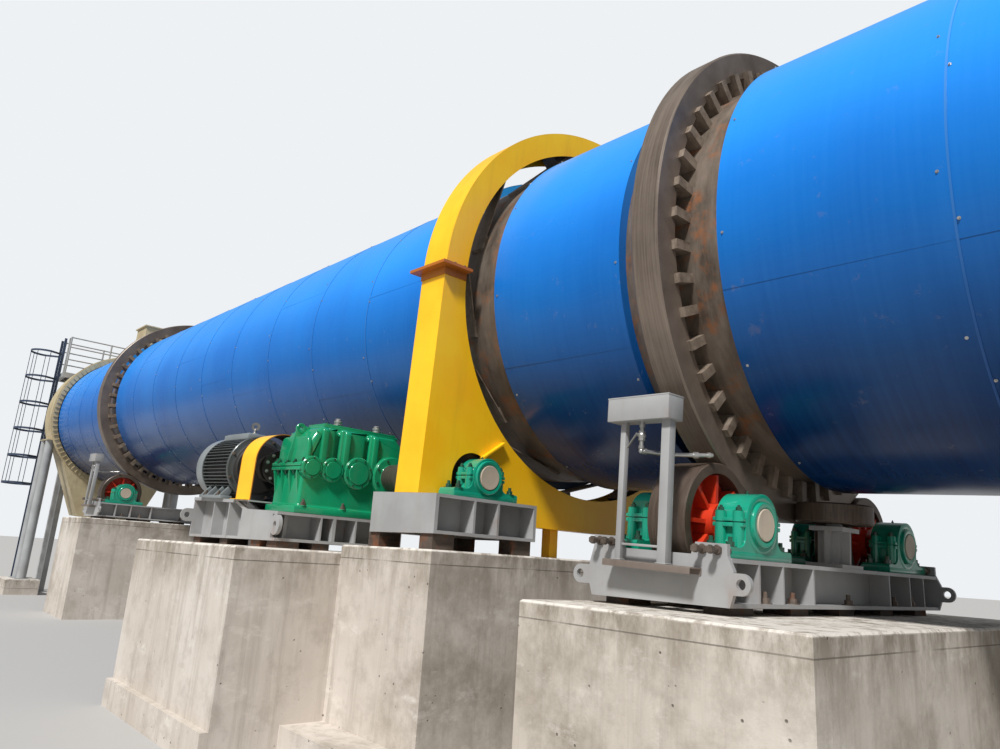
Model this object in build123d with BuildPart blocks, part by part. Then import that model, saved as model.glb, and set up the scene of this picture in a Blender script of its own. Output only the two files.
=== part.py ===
"""Rotary drum dryer on two roller stations, with its girth gear drive, hoods and piers.

The drum frame has X along the drum axis, towards the discharge end, and its origin on the
axis in the plane of the girth gear. The whole machine leans about Y by the drum's fall, so
pieces made in the drum frame are moved by `lean` when they are saved. Piers, posts and
packing stand level and are made in the ground frame, with Z = 0 on the ground.
"""
import os
from math import acos, atan2, cos, pi, radians, sin, sqrt, tan

from build123d import *

os.makedirs("parts", exist_ok=True)

# drum and its place
axis_height = 3770.0
fall_angle = 2.126
shell_radius = 1500.0
shell_wall = 16.0
cladding_radius = 1572.0
right_tyre_at = 2068.0
tyre_spacing = 13307.0
overhang = 4924.0
shell_reach = 110.0
seat_gap = 0.2
run_gap = 0.3

left_tyre_at = right_tyre_at - tyre_spacing
feed_ring_at = left_tyre_at - overhang
discharge_ring_at = right_tyre_at + overhang
slope = radians(fall_angle)
lean = Location((0, 0, axis_height), (0, fall_angle, 0))

# tyres
tyre_radius = 1800.0
tyre_bore = 1608.0
tyre_width = 205.0
tyre_bevel = 12.0
pad_count = 48
pad_width = 62.0
stop_height = 40.0
stop_length = 40.0
bare_band = 376.0

# girth gear and pinion
module = 24.0
gear_teeth = 154
pinion_teeth = 27
gear_width = 200.0
pinion_width = 216.0
tooth_play = 1.2
pressure_angle = 20.0
pinion_angle = 41.0
rim_bore = 1752.0
spring_count = 12
spring_length = 760.0
spring_width = 150.0
spring_plate = 12.0
gear_band = 398.0

# support rollers
roller_radius = 370.0
roller_width = 270.0
roller_bore = 304.0
roller_angle = 30.0
hub_radius = 118.0
shaft_radius = 75.0
spoke_count = 8
spoke_plate = 26.0
thrust_radius = 250.0
thrust_height = 132.0
thrust_low = -1794.0
pin_radius = 32.0

# bearing housings
housing_reach = 449.0
housing_length = 210.0
housing_radius = 180.0
housing_foot = 690.0
foot_height = 62.0
boss_radius = 134.0
cap_radius = 92.0
boss_depth = 20.0
bearing_height = 206.0
foot_flare = 55.0
column_size = 32.0
column_inset = 47.0
column_rise = 64.0
shaft_fit = 0.1

# roller stations
base_length = 3070.0
base_width = 966.0
beam_width = 298.0
flange = 24.0
web = 20.0
rib = 16.0
end_plate = 30.0
packing = 45.0
base_foot = 1332.0
ear_radius = 58.0
ear_reach = 568.0
ear_shift = -18.0
ear_rise = 124.0
ear_hole = 28.0
oiler_height = 830.0
oiler_channel = (-302.0, 316.0)
oiler_box = -70.0
oiler_pipe = -82.0

# piers
right_pier_size = (1780.0, 4060.0)
left_pier_size = (1540.0, 3700.0)
right_pier_shift = 280.0
left_pier_shift = 57.0
motor_pier_x = (-3046.0, -681.0)
motor_pier_y = (-2950.0, -900.0)
motor_pier_top = 1485.0
pinion_pier_x = (-681.0, 529.0)
pinion_pier_y = (-2080.0, 1500.0)
pinion_pier_top = 1545.0
toe_height = 232.0
toe_reach = 60.0
step_reach = 350.0

# pinion station
pinion_base_x = (-470.0, 395.0)
pinion_base_y = (-1928.0, -900.0)
pinion_beam = 215.0
pinion_base_top = -1808.0
pinion_base_foot = 1660.0
pinion_housing_at = 275.0
pinion_bearing_height = 168.0
pinion_shaft = 70.0

# reducer and motor
reducer_x = (-1600.0, -1030.0)
reducer_y = (-2330.0, -1230.0)
reducer_foot = -2032.0
reducer_top = -1262.0
input_at = -2215.0
second_at = -2018.0
third_at = -1764.0
rib_width = 68.0
motor_end = -2100.0
motor_tail = -3030.0
motor_radius = 312.0
motor_height = 315.0
motor_shaft = 40.0
guard_band = (-1925.0, -1609.0)
guard_rise = 45.0
guard_bend = 262.0

# drive base
drive_base_x = (-2945.0, -1000.0)
drive_base_y = (-2480.0, -1250.0)
drive_base_foot = 1540.0
pedestal_x = (-2915.0, -1905.0)
web_depth = 120.0
beam_reach = 195.0
strap = 95.0

# gear guard
guard_radius = 1899.0
guard_bore = 1681.0
guard_width = 318.0
guard_plate = 6.0
guard_split = 30.0
guard_foot = -1975.0
guard_pan = -2022.0
cutout_radius = 200.0
guard_lip = 80.0

# hoods, duct, columns and platform
hood_radius = 1700.0
hood_depth = 900.0
hood_plate = 10.0
ring_plate = 14.0
seal_radius = 1732.0
seal_rib = 12.0
seal_ribs = 90
seal_bore = 1586.0
column_radius = 100.0
column_y = 1592.0
column_insets = (217.0, 776.0)
plinth_height = 345.0
shelf_height = -696.0
hopper_edge = 1480.0
chute_mouth = -2486.0
chute_half = 700.0
duct_length = 850.0
duct_width = 700.0
duct_shift = 380.0
duct_top = 2670.0
platform_floor = 5570.0
platform_y = 1520.0
platform_reach = 910.0
rail_height = 960.0
rail_radius = 17.0
upright_radius = 21.0
ladder_width = 400.0
ladder_y = -1570.0
ladder_setback = 300.0
hoop_reach = 700.0
post_y = 960.0


def deck(height, x):
    """Ground-frame height, at the place x, of the drum-frame level `height`."""
    return axis_height - x * tan(slope) + height / cos(slope)


def level_x(x, height):
    """Ground-frame x of a drum-frame point (x, height)."""
    return x * cos(slope) + height * sin(slope)


def save(part, label, place=None):
    """Label a finished piece, lean it with the drum if asked, and write its STEP file."""
    piece = part if place is None else part.moved(place)
    piece.label = label
    export_step(piece, f"parts/{label}.step")


def ring_sleeve(outer, inner, start, stop):
    """A plain sleeve round the drum axis between two places on it."""
    with BuildPart() as sleeve:
        with BuildSketch(Plane.YZ.offset(start)):
            Circle(outer)
            Circle(inner, mode=Mode.SUBTRACT)
        extrude(amount=stop - start)
    return sleeve


# drum shell, cladding and tyres
def make_shell():
    start = feed_ring_at - shell_reach
    stop = discharge_ring_at + shell_reach
    shell = ring_sleeve(shell_radius, shell_radius - shell_wall, start, stop)
    save(shell.part, "drum_shell", lean)


def make_cladding():
    edges = {
        "feed": (feed_ring_at + 60, left_tyre_at - bare_band),
        "long": (left_tyre_at + bare_band, -gear_band),
        "short": (gear_band, right_tyre_at - bare_band),
        "discharge": (right_tyre_at + bare_band, discharge_ring_at - 60),
    }
    for name, (start, stop) in edges.items():
        sleeve = ring_sleeve(cladding_radius, shell_radius + seat_gap, start, stop)
        save(sleeve.part, f"cladding_{name}", lean)


def make_tyre(name, at):
    with BuildPart() as tyre:
        with BuildSketch(Plane.XZ) as section:
            with Locations((at, (tyre_radius + tyre_bore) / 2)):
                Rectangle(tyre_width, tyre_radius - tyre_bore)
            rim = section.vertices().sort_by(Axis.Y)[-2:]
            chamfer(rim, tyre_bevel)
        revolve(axis=Axis.X)
    save(tyre.part, f"{name}_tyre", lean)


def make_tyre_pads(name, at):
    """Filler bars between shell and tyre, each with a stop block at both of its ends."""
    inner = shell_radius + seat_gap
    outer = tyre_bore - seat_gap
    half = tyre_width / 2 + seat_gap
    with BuildPart() as pads:
        with BuildSketch(Plane.XZ):
            with BuildLine():
                Polyline(
                    (at - half - stop_length, inner + 0.1),
                    (at + half + stop_length, inner + 0.1),
                    (at + half + stop_length, outer + stop_height),
                    (at + half, outer + stop_height),
                    (at + half, outer - 0.8),
                    (at - half, outer - 0.8),
                    (at - half, outer + stop_height),
                    (at - half - stop_length, outer + stop_height),
                    close=True,
                )
            make_face()
        extrude(amount=pad_width / 2, both=True)
        bar = pads.part
    with BuildPart() as row:
        add([bar.rotate(Axis.X, 360 / pad_count * i) for i in range(pad_count)])
    save(row.part, f"{name}_tyre_pads", lean)


# girth gear with its leaf springs, and the pinion
def tooth_ring(teeth, width, bore, turn, heights):
    """Spur teeth whose flanks pass through involute points at the given heights on the tooth."""
    pitch = module * teeth / 2
    step = 2 * pi / teeth
    base = pitch * cos(radians(pressure_angle))
    start = tan(radians(pressure_angle)) - radians(pressure_angle)
    flank = []
    for height in heights:
        radius = pitch + height * module
        angle = acos(min(1, base / radius))
        half = step / 4 - tooth_play / 4 / pitch + start - (tan(angle) - angle)
        flank.append((radius, half))
    points = []
    for i in range(teeth):
        centre = turn + i * step
        for radius, half in flank:
            points.append((radius * cos(centre - half), radius * sin(centre - half)))
        for radius, half in reversed(flank):
            points.append((radius * cos(centre + half), radius * sin(centre + half)))
    with BuildPart() as ring:
        with BuildSketch(Plane.YZ.offset(-width / 2)):
            with BuildLine():
                Polyline(*points, close=True)
            make_face()
            if bore:
                Circle(bore, mode=Mode.SUBTRACT)
        extrude(amount=width)
    return ring


def make_girth_gear():
    """Two half rings, parted by a narrow joint, with a wedge pad for every leaf spring."""
    ring = tooth_ring(gear_teeth, gear_width, rim_bore, radians(-90), (-1.25, 1))
    with BuildPart() as pad:
        with BuildSketch(Plane.YZ.offset(-spring_width / 2)):
            with BuildLine():
                Polyline(
                    (spring_length - 170, shell_radius + 24),
                    (spring_length, shell_radius + 24),
                    (spring_length, sqrt(rim_bore**2 - spring_length**2) + 20),
                    (spring_length - 170, sqrt(rim_bore**2 - (spring_length - 170) ** 2) + 20),
                    close=True,
                )
            make_face()
        extrude(amount=spring_width)
    turns = [360 / spring_count * (i + 0.5) for i in range(spring_count)]
    with BuildPart() as gear:
        add(ring.part)
        add([pad.part.rotate(Axis.X, turn) for turn in turns])
        with BuildSketch(Plane.XY):
            Rectangle(gear_width + 40, 2 * gear_radius() + 100)
        extrude(amount=0.25, both=True, mode=Mode.SUBTRACT)
    save(gear.part, "girth_gear", lean)


def gear_radius():
    return module * gear_teeth / 2


def make_gear_springs():
    """Leaf springs, each seated on a shell pad at one end and on the gear rim at the other."""
    with BuildPart() as leaf:
        with BuildSketch(Plane.YZ.offset(-spring_width / 2)):
            with Locations((spring_length / 2 - 30, shell_radius + 12 + spring_plate / 2 - 0.1)):
                Rectangle(spring_length + 60, spring_plate - 0.2)
            with Locations((10, shell_radius + 2)):
                Rectangle(150, 20)
            Circle(shell_radius + seat_gap, mode=Mode.SUBTRACT)
        extrude(amount=spring_width)
        spring = leaf.part
    turns = [360 / spring_count * (i + 0.5) for i in range(spring_count)]
    with BuildPart() as springs:
        add([spring.rotate(Axis.X, turn) for turn in turns])
    save(springs.part, "gear_springs", lean)


pinion_distance = module * (gear_teeth + pinion_teeth) / 2
pinion_y = -pinion_distance * sin(radians(pinion_angle))
pinion_z = -pinion_distance * cos(radians(pinion_angle))


def make_pinion():
    """Pinion cut on its shaft, turned so that a tooth gap meets a girth gear tooth."""
    toward = atan2(-pinion_z, -pinion_y)
    gear_phase = ((atan2(pinion_z, pinion_y) - radians(-90)) / (2 * pi / gear_teeth)) % 1
    turn = toward + (0.5 + gear_phase) * 2 * pi / pinion_teeth
    teeth = tooth_ring(pinion_teeth, pinion_width, 0, turn, (-1.2, -0.7, 0, 1))
    reach = pinion_housing_at + housing_length / 2 - 40
    with BuildPart() as pinion:
        add(teeth.part)
        with BuildSketch(Plane.YZ.offset(-pinion_width / 2 - 30)):
            Circle(pinion_shaft + 30)
        extrude(amount=pinion_width + 60)
        with BuildSketch(Plane.YZ.offset(-reach - 130)):
            Circle(pinion_shaft)
        extrude(amount=2 * reach + 130)
    save(pinion.part.moved(Location((0, pinion_y, pinion_z))), "pinion", lean)
    with BuildPart() as coupling:
        with BuildSketch(Plane.XZ):
            with BuildLine():
                start = -reach - 130
                Polyline(
                    (start, 0),
                    (start, 120),
                    (start - 90, 120),
                    (start - 90, 175),
                    (start - 250, 175),
                    (start - 250, 120),
                    (reducer_x[1] + 32, 120),
                    (reducer_x[1] + 32, pinion_shaft),
                    (reducer_x[1] - 90, pinion_shaft),
                    (reducer_x[1] - 90, 0),
                    close=True,
                )
            make_face()
        revolve(axis=Axis.X)
    save(coupling.part.moved(Location((0, pinion_y, pinion_z))), "low_speed_coupling", lean)


# support rollers
roller_run = tyre_radius + roller_radius + run_gap
roller_y = roller_run * sin(radians(roller_angle))
roller_z = -roller_run * cos(radians(roller_angle))


def make_roller(name, at, side):
    place = lean * Location((at, side * roller_y, roller_z))
    with BuildPart() as rim:
        with BuildSketch(Plane.XZ) as section:
            with Locations((0, (roller_radius + roller_bore) / 2)):
                Rectangle(roller_width, roller_radius - roller_bore)
            chamfer(section.vertices().sort_by(Axis.Y)[-2:], 8)
        revolve(axis=Axis.X)
    save(rim.part, f"{name}_rim", place)
    with BuildPart() as wheel:
        with BuildSketch(Plane.YZ.offset(-web)):
            Circle(roller_bore - seat_gap)
        extrude(amount=2 * web)
        with BuildSketch(Plane.YZ.offset(-roller_width / 2 + 18)):
            with PolarLocations((hub_radius + roller_bore) / 2 - 5, spoke_count):
                Rectangle(roller_bore - hub_radius - 12, spoke_plate)
        extrude(amount=roller_width - 36)
        with BuildSketch(Plane.YZ.offset(-roller_width / 2 - 22)):
            Circle(hub_radius)
        extrude(amount=roller_width + 44)
        reach = housing_reach - boss_depth - 36
        with BuildSketch(Plane.YZ.offset(-reach)):
            Circle(shaft_radius)
        extrude(amount=2 * reach)
    save(wheel.part, f"{name}_wheel", place)


def make_thrust_rollers():
    """Two flat rollers on upright pins, one at each face of the right tyre, on ribbed stands."""
    run = tyre_width / 2 + thrust_radius + run_gap
    bore = pin_radius + shaft_fit
    top = thrust_low + thrust_height
    base_top = roller_z - bearing_height
    with BuildPart() as roller:
        with BuildSketch(Plane.XZ):
            with BuildLine():
                Polyline(
                    (bore, thrust_low),
                    (thrust_radius - 10, thrust_low),
                    (thrust_radius, thrust_low + 10),
                    (thrust_radius, top - 10),
                    (thrust_radius - 10, top),
                    (bore, top),
                    close=True,
                )
            make_face()
        revolve(axis=Axis.Z)
    with BuildPart() as stand:
        with BuildSketch(Plane.XZ):
            with BuildLine():
                Polyline(
                    (0, thrust_low - 22),
                    (52, thrust_low - 22),
                    (52, thrust_low - run_gap),
                    (pin_radius, thrust_low - run_gap),
                    (pin_radius, top + run_gap),
                    (48, top + run_gap),
                    (48, top + 6),
                    (0, top + 6),
                    close=True,
                )
            make_face()
        revolve(axis=Axis.Z)
        with Locations((0, 0, thrust_low - 37)):
            Box(230, 260, 30)
        with Locations((0, 0, (thrust_low - 50 + base_top) / 2)):
            Box(110, 110, thrust_low - 50 - base_top)
            Box(220, 22, thrust_low - 50 - base_top)
            Box(22, 250, thrust_low - 50 - base_top)
        with Locations((0, 0, base_top + 12)):
            Box(250, 320, 24)
    for name, side in (("down", 1), ("up", -1)):
        place = lean * Location((right_tyre_at + side * run, 0, 0))
        save(roller.part, f"thrust_roller_{name}", place)
    pair = [stand.part.moved(Location((side * run, 0, 0))) for side in (-1, 1)]
    with BuildPart() as stands:
        add(pair)
    save(stands.part, "thrust_stands", lean * Location((right_tyre_at, 0, 0)))


make_shell()
make_cladding()
make_thrust_rollers()
for tyre_name, tyre_at in (("right", right_tyre_at), ("left", left_tyre_at)):
    make_tyre(tyre_name, tyre_at)
    make_tyre_pads(tyre_name, tyre_at)
    for roller_name, roller_side in (("near", -1), ("far", 1)):
        make_roller(f"{tyre_name}_{roller_name}_roller", tyre_at, roller_side)
make_girth_gear()
make_gear_springs()
make_pinion()


# roller station bases, bearing housings and oilers
def housing(radius, shaft, centre, length, foot, closed=True):
    """A pillow block along X with its cap on +X; its shaft hole is blind unless not closed."""
    with BuildPart() as block:
        with BuildSketch(Plane.YZ.offset(-length / 2)):
            Circle(radius)
            with Locations((0, -centre / 2)):
                Rectangle(2 * radius, centre)
            with Locations((0, -centre + foot_height / 2)):
                Rectangle(foot, foot_height)
        extrude(amount=length)
        knees = block.edges().filter_by(Axis.X).filter_by_position(Axis.Z, -centre + foot_height - 1, -centre + foot_height + 1)
        fillet([edge for edge in knees if abs(edge.center().Y) < radius + 1], foot_flare)
        with BuildSketch(Plane.XY.offset(-centre + foot_height / 2)):
            for side in (-1, 1):
                for end in (-1, 1):
                    with Locations((end * (length / 2 - column_inset), side * (radius + 10))):
                        Circle(column_size)
        extrude(amount=centre - foot_height / 2 + column_rise)
        with BuildSketch(Plane.YZ.offset(length / 2)):
            Circle(boss_radius)
        extrude(amount=boss_depth)
        with BuildSketch(Plane.YZ.offset(length / 2 + boss_depth)):
            Circle(cap_radius)
            Circle(cap_radius - 12, mode=Mode.SUBTRACT)
        extrude(amount=6)
        with BuildSketch(Plane.YZ.offset(-length / 2)):
            Circle(shaft + shaft_fit)
        extrude(amount=length - 30, mode=Mode.SUBTRACT)
    return block.part


def make_station_housings(name, at):
    block = housing(housing_radius, shaft_radius, bearing_height, housing_length, housing_foot)
    offset = housing_reach - boss_depth - housing_length / 2
    with BuildPart() as blocks:
        for side in (-1, 1):
            add(block.moved(Location((offset, side * roller_y, roller_z))))
            add(block.rotate(Axis.Z, 180).moved(Location((-offset, side * roller_y, roller_z))))
    save(blocks.part, f"{name}_housings", lean * Location((at, 0, 0)))


def make_station_base(name, at):
    """Two ribbed I-beams across the drum, level below and leaning with the drum on top."""
    top = roller_z - bearing_height
    middle = level_x(at, top)
    foot = base_foot + (right_tyre_at - at) * sin(slope)
    edge = base_width / 2
    inner = edge - beam_width
    with BuildPart() as base:
        for side in (-1, 1):
            near = middle + side * inner
            far = middle + side * edge
            spine = middle + side * (inner + edge) / 2
            with BuildSketch(Plane.XZ):
                with BuildLine():
                    Polyline((near, foot), (far, foot), (far, foot + flange), (near, foot + flange), close=True)
                make_face()
                with BuildLine():
                    Polyline(
                        (near, deck(top - flange, near)),
                        (far, deck(top - flange, far)),
                        (far, deck(top, far)),
                        (near, deck(top, near)),
                        close=True,
                    )
                make_face()
                with BuildLine():
                    Polyline(
                        (spine - web / 2, foot),
                        (spine + web / 2, foot),
                        (spine + web / 2, deck(top - 1, spine + web / 2)),
                        (spine - web / 2, deck(top - 1, spine - web / 2)),
                        close=True,
                    )
                make_face()
            extrude(amount=base_length / 2 - end_plate, both=True)
            for at_y in (575, 950, 1220):
                for hand in (-1, 1):
                    with BuildSketch(Plane.XZ.offset(-hand * at_y)):
                        with BuildLine():
                            Polyline(
                                (near, foot + 1),
                                (far, foot + 1),
                                (far, deck(top - 1, far)),
                                (near, deck(top - 1, near)),
                                close=True,
                            )
                        make_face()
                    extrude(amount=rib / 2, both=True)
        for hand in (-1, 1):
            with BuildSketch(Plane.XZ.offset(-hand * (base_length / 2 - end_plate / 2))):
                left = middle - edge
                right = middle + edge
                low = foot
                with BuildLine():
                    Polyline(
                        (left, low),
                        (right, low),
                        (right + 26, low + 78),
                        (right + 26, low + 190),
                        (right - 10, deck(top, right) + 10),
                        (right - 10, deck(top, right) + 74),
                        (right - 210, deck(top, right - 210) + 74),
                        (right - 240, deck(top, right - 240) + 6),
                        (left + 240, deck(top, left + 240) + 6),
                        (left + 210, deck(top, left + 210) + 74),
                        (left + 10, deck(top, left) + 74),
                        (left + 10, deck(top, left) + 10),
                        (left - 26, low + 190),
                        (left - 26, low + 78),
                        close=True,
                    )
                make_face()
                for side in (-1, 1):
                    with Locations((middle + side * ear_reach + ear_shift, foot + ear_rise)):
                        Circle(ear_radius)
                    with Locations((middle + side * (ear_reach - 45) + ear_shift, foot + ear_rise)):
                        Rectangle(90, 2 * ear_radius)
                for side in (-1, 1):
                    with Locations((middle + side * ear_reach + ear_shift, foot + ear_rise)):
                        Circle(ear_hole, mode=Mode.SUBTRACT)
            extrude(amount=end_plate / 2, both=True)
        for at_y in (-330, 330):
            with BuildSketch(Plane.XZ.offset(-at_y)):
                with BuildLine():
                    Polyline(
                        (middle - edge + beam_width / 2, foot + 1),
                        (middle + edge - beam_width / 2, foot + 1),
                        (middle + edge - beam_width / 2, deck(top, middle + edge) - 30),
                        (middle - edge + beam_width / 2, deck(top, middle - edge) - 30),
                        close=True,
                    )
                make_face()
            extrude(amount=rib, both=True)
    save(base.part, f"{name}_station_base")
    return foot, middle


def make_packing(stacks):
    """Stacks of levelling plates between the piers and the bases that stand on them."""
    with BuildPart() as plates:
        for x, y, length, width, bottom, top in stacks:
            with Locations((x, y, (bottom + top) / 2)):
                Box(length, width, top - bottom)
    save(plates.part, "packing_plates")


def make_oiler(name, at):
    """Oil box on two square posts over a channel, with its drip pipe to the tyre."""
    face = -(base_length / 2 + seat_gap)
    channel = 58.0
    low = -2190.0
    with BuildPart() as oiler:
        with BuildSketch(Plane.YZ.offset(oiler_channel[0])):
            with BuildLine():
                Polyline(
                    (face, low),
                    (face, low + 38),
                    (face - channel - 60, low + 38),
                    (face - channel - 60, low),
                    (face - channel - 52, low),
                    (face - channel - 52, low + 30),
                    (face - 8, low + 30),
                    (face - 8, low),
                    close=True,
                )
            make_face()
        extrude(amount=oiler_channel[1] - oiler_channel[0])
        for x, width in ((-212, 40), (112, 60)):
            with Locations((x, face - 70, low + 38 + oiler_height / 2)):
                Box(width, width, oiler_height + 1)
        with Locations((-50, face - 70, low + 38 + 95)):
            Box(300, 14, 14)
        with Locations((oiler_box, face - 70, low + 38 + oiler_height + 75)):
            Box(462, 150, 150)
        with BuildLine() as route:
            Polyline(
                (oiler_pipe, face - 70, low + 40 + oiler_height),
                (oiler_pipe, face - 70, -1500),
                (oiler_pipe + 70, -1430, -1500),
                (oiler_pipe + 238, -1205, -1478),
            )
        with BuildSketch(Plane((oiler_pipe, face - 70, low + 40 + oiler_height), z_dir=(0, 0, -1))):
            Circle(17)
        sweep(path=route.line, transition=Transition.RIGHT)
    save(oiler.part, f"{name}_oiler", lean * Location((at, 0, 0)))


# concrete piers
def make_pier(name, x_span, y_span, height, toe=0, step=0):
    with BuildPart() as pier:
        with Locations(((x_span[0] + x_span[1]) / 2, (y_span[0] + y_span[1]) / 2, height / 2)):
            Box(x_span[1] - x_span[0], y_span[1] - y_span[0], height)
        chamfer(pier.edges().group_by(Axis.Z)[-1], 12)
        if toe:
            low = y_span[0] - toe
            with Locations(((x_span[0] + x_span[1]) / 2, (low + y_span[0]) / 2 + 5, toe_height / 2)):
                Box(x_span[1] - x_span[0], toe + 10, toe_height)
        if step:
            low = y_span[0] - step
            with Locations(((x_span[0] + x_span[1]) / 2, (low + y_span[0]) / 2 + 5, toe_height / 2)):
                Box(x_span[1] - x_span[0], step + 10, toe_height)
    save(pier.part, name)


# pinion station
def make_pinion_base():
    """Two crosswise beams under the pinion housings, open between them for the guard's pan."""
    top = pinion_base_top
    foot = pinion_base_foot
    left = level_x(pinion_base_x[0], top)
    right = level_x(pinion_base_x[1], top)
    low, high = pinion_base_y
    length = high - low
    middle = (low + high) / 2
    with BuildPart() as base:
        for outer, side in ((left, -1), (right, 1)):
            inner = outer - side * pinion_beam
            with BuildSketch(Plane.XZ.offset(-middle)):
                for bottom, above in ((foot, None), (None, top)):
                    with BuildLine():
                        if above is None:
                            Polyline(
                                (inner, bottom),
                                (outer, bottom),
                                (outer, bottom + flange),
                                (inner, bottom + flange),
                                close=True,
                            )
                        else:
                            Polyline(
                                (inner, deck(top - flange, inner)),
                                (outer, deck(top - flange, outer)),
                                (outer, deck(top, outer)),
                                (inner, deck(top, inner)),
                                close=True,
                            )
                    make_face()
                spine = inner + side * 40
                with BuildLine():
                    Polyline(
                        (spine - web / 2, foot),
                        (spine + web / 2, foot),
                        (spine + web / 2, deck(top - 1, spine + web / 2)),
                        (spine - web / 2, deck(top - 1, spine - web / 2)),
                        close=True,
                    )
                make_face()
            extrude(amount=length / 2, both=True)
            for at_y in (low + 375, high - 412, high - 10):
                with BuildSketch(Plane.XZ.offset(-at_y)):
                    with BuildLine():
                        Polyline(
                            (spine, foot + 1),
                            (outer, foot + 1),
                            (outer, deck(top - 1, outer)),
                            (spine, deck(top - 1, spine)),
                            close=True,
                        )
                    make_face()
                extrude(amount=10, both=True)
        for at_y, cut in ((low + end_plate / 2, 0), (high - end_plate / 2, 1)):
            with BuildSketch(Plane.XZ.offset(-at_y)):
                with BuildLine():
                    Polyline(
                        (left, foot),
                        (right, foot),
                        (right, deck(top, right)),
                        (left, deck(top, left)),
                        close=True,
                    )
                make_face()
                if cut:
                    middle_x = level_x(0, guard_pan)
                    with Locations((middle_x, foot + 400)):
                        Rectangle(guard_width + 24, 800 - 2 * (deck(guard_pan, 0) - foot - 20), mode=Mode.SUBTRACT)
            extrude(amount=end_plate / 2, both=True)
        with BuildSketch(Plane.XZ.offset(-(low + 48))):
            with BuildLine():
                Polyline(
                    (left + 200, deck(top - flange, left + 200)),
                    (right - 200, deck(top - flange, right - 200)),
                    (right - 200, deck(top, right - 200)),
                    (left + 200, deck(top, left + 200)),
                    close=True,
                )
            make_face()
        extrude(amount=36, both=True)
    save(base.part, "pinion_base")


def make_pinion_housings():
    block = housing(150, pinion_shaft, pinion_bearing_height, housing_length - 20, 650)
    open_block = housing(150, pinion_shaft, pinion_bearing_height, housing_length - 20, 650)
    with BuildPart() as blocks:
        add(block.moved(Location((pinion_housing_at, pinion_y, pinion_z))))
        add(open_block.rotate(Axis.Z, 180).moved(Location((-pinion_housing_at, pinion_y, pinion_z))))
        with BuildSketch(Plane.YZ.offset(-pinion_housing_at - 150)):
            with Locations((pinion_y, pinion_z)):
                Circle(pinion_shaft + shaft_fit)
        extrude(amount=200, mode=Mode.SUBTRACT)
    save(blocks.part, "pinion_housings", lean)


# reducer, motor and their base
def make_reducer():
    """Three-stage reducer with split line through its shafts and a domed, ribbed cover."""
    x_low, x_high = reducer_x
    y_low, y_high = reducer_y
    depth = x_high - x_low
    middle = (x_low + x_high) / 2
    with BuildPart() as case:
        with BuildSketch(Plane.YZ.offset(x_low + 30)):
            with BuildLine():
                Polyline(
                    (y_low + 40, reducer_foot),
                    (y_high - 40, reducer_foot),
                    (y_high - 40, pinion_z + 160),
                    (y_high - 140, reducer_top + 10),
                    (y_high - 420, reducer_top),
                    (y_low + 170, reducer_top),
                    (y_low + 110, reducer_top - 24),
                    (y_low + 72, reducer_top - 78),
                    (y_low + 40, pinion_z + 115),
                    close=True,
                )
            make_face()
        extrude(amount=depth - 60)
        fillet(case.edges().filter_by(Axis.X).group_by(Axis.Z)[-1], 40)
        for y in (y_low + 225, y_low + 442, y_low + 733):
            with Locations((middle, y, (pinion_z + 20 + reducer_top - 26) / 2)):
                Box(depth - 4, rib_width, reducer_top - 46 - pinion_z)
        with Locations((middle, (y_low + y_high) / 2, reducer_foot + 30)):
            Box(depth, y_high - y_low, 60)
        with Locations((middle, (y_low + y_high) / 2, pinion_z)):
            Box(depth - 8, y_high - y_low, 68)
        with Locations((middle, (y_low + y_high) / 2 + 60, reducer_top + 14)):
            Box(depth - 220, 520, 44)
        for y in (y_low + 96, y_high - 78):
            with BuildSketch(Plane.YZ.offset(middle - 11)):
                with Locations((y, reducer_top - 30)):
                    Circle(46)
            extrude(amount=22)
            with BuildSketch(Plane.YZ.offset(middle - 20)):
                with Locations((y, reducer_top - 14)):
                    Circle(17)
            extrude(amount=40, mode=Mode.SUBTRACT)
        for y, radius, proud in (
            (input_at, 93, 14),
            (second_at, 101, 14),
            (third_at, 136, 18),
            (pinion_y, 184, 26),
        ):
            with BuildSketch(Plane.YZ.offset(x_low - proud + 6)):
                with Locations((y, pinion_z)):
                    Circle(radius)
            extrude(amount=depth - 12 + 2 * proud)
        with BuildSketch(Plane.YZ.offset(x_high - 100)):
            with Locations((pinion_y, pinion_z)):
                Circle(pinion_shaft + shaft_fit)
        extrude(amount=200, mode=Mode.SUBTRACT)
        with BuildSketch(Plane.YZ.offset(x_low + 100)):
            with Locations((input_at, pinion_z)):
                Circle(motor_shaft + shaft_fit)
        extrude(amount=-200, mode=Mode.SUBTRACT)
    save(case.part, "reducer", lean)


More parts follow.
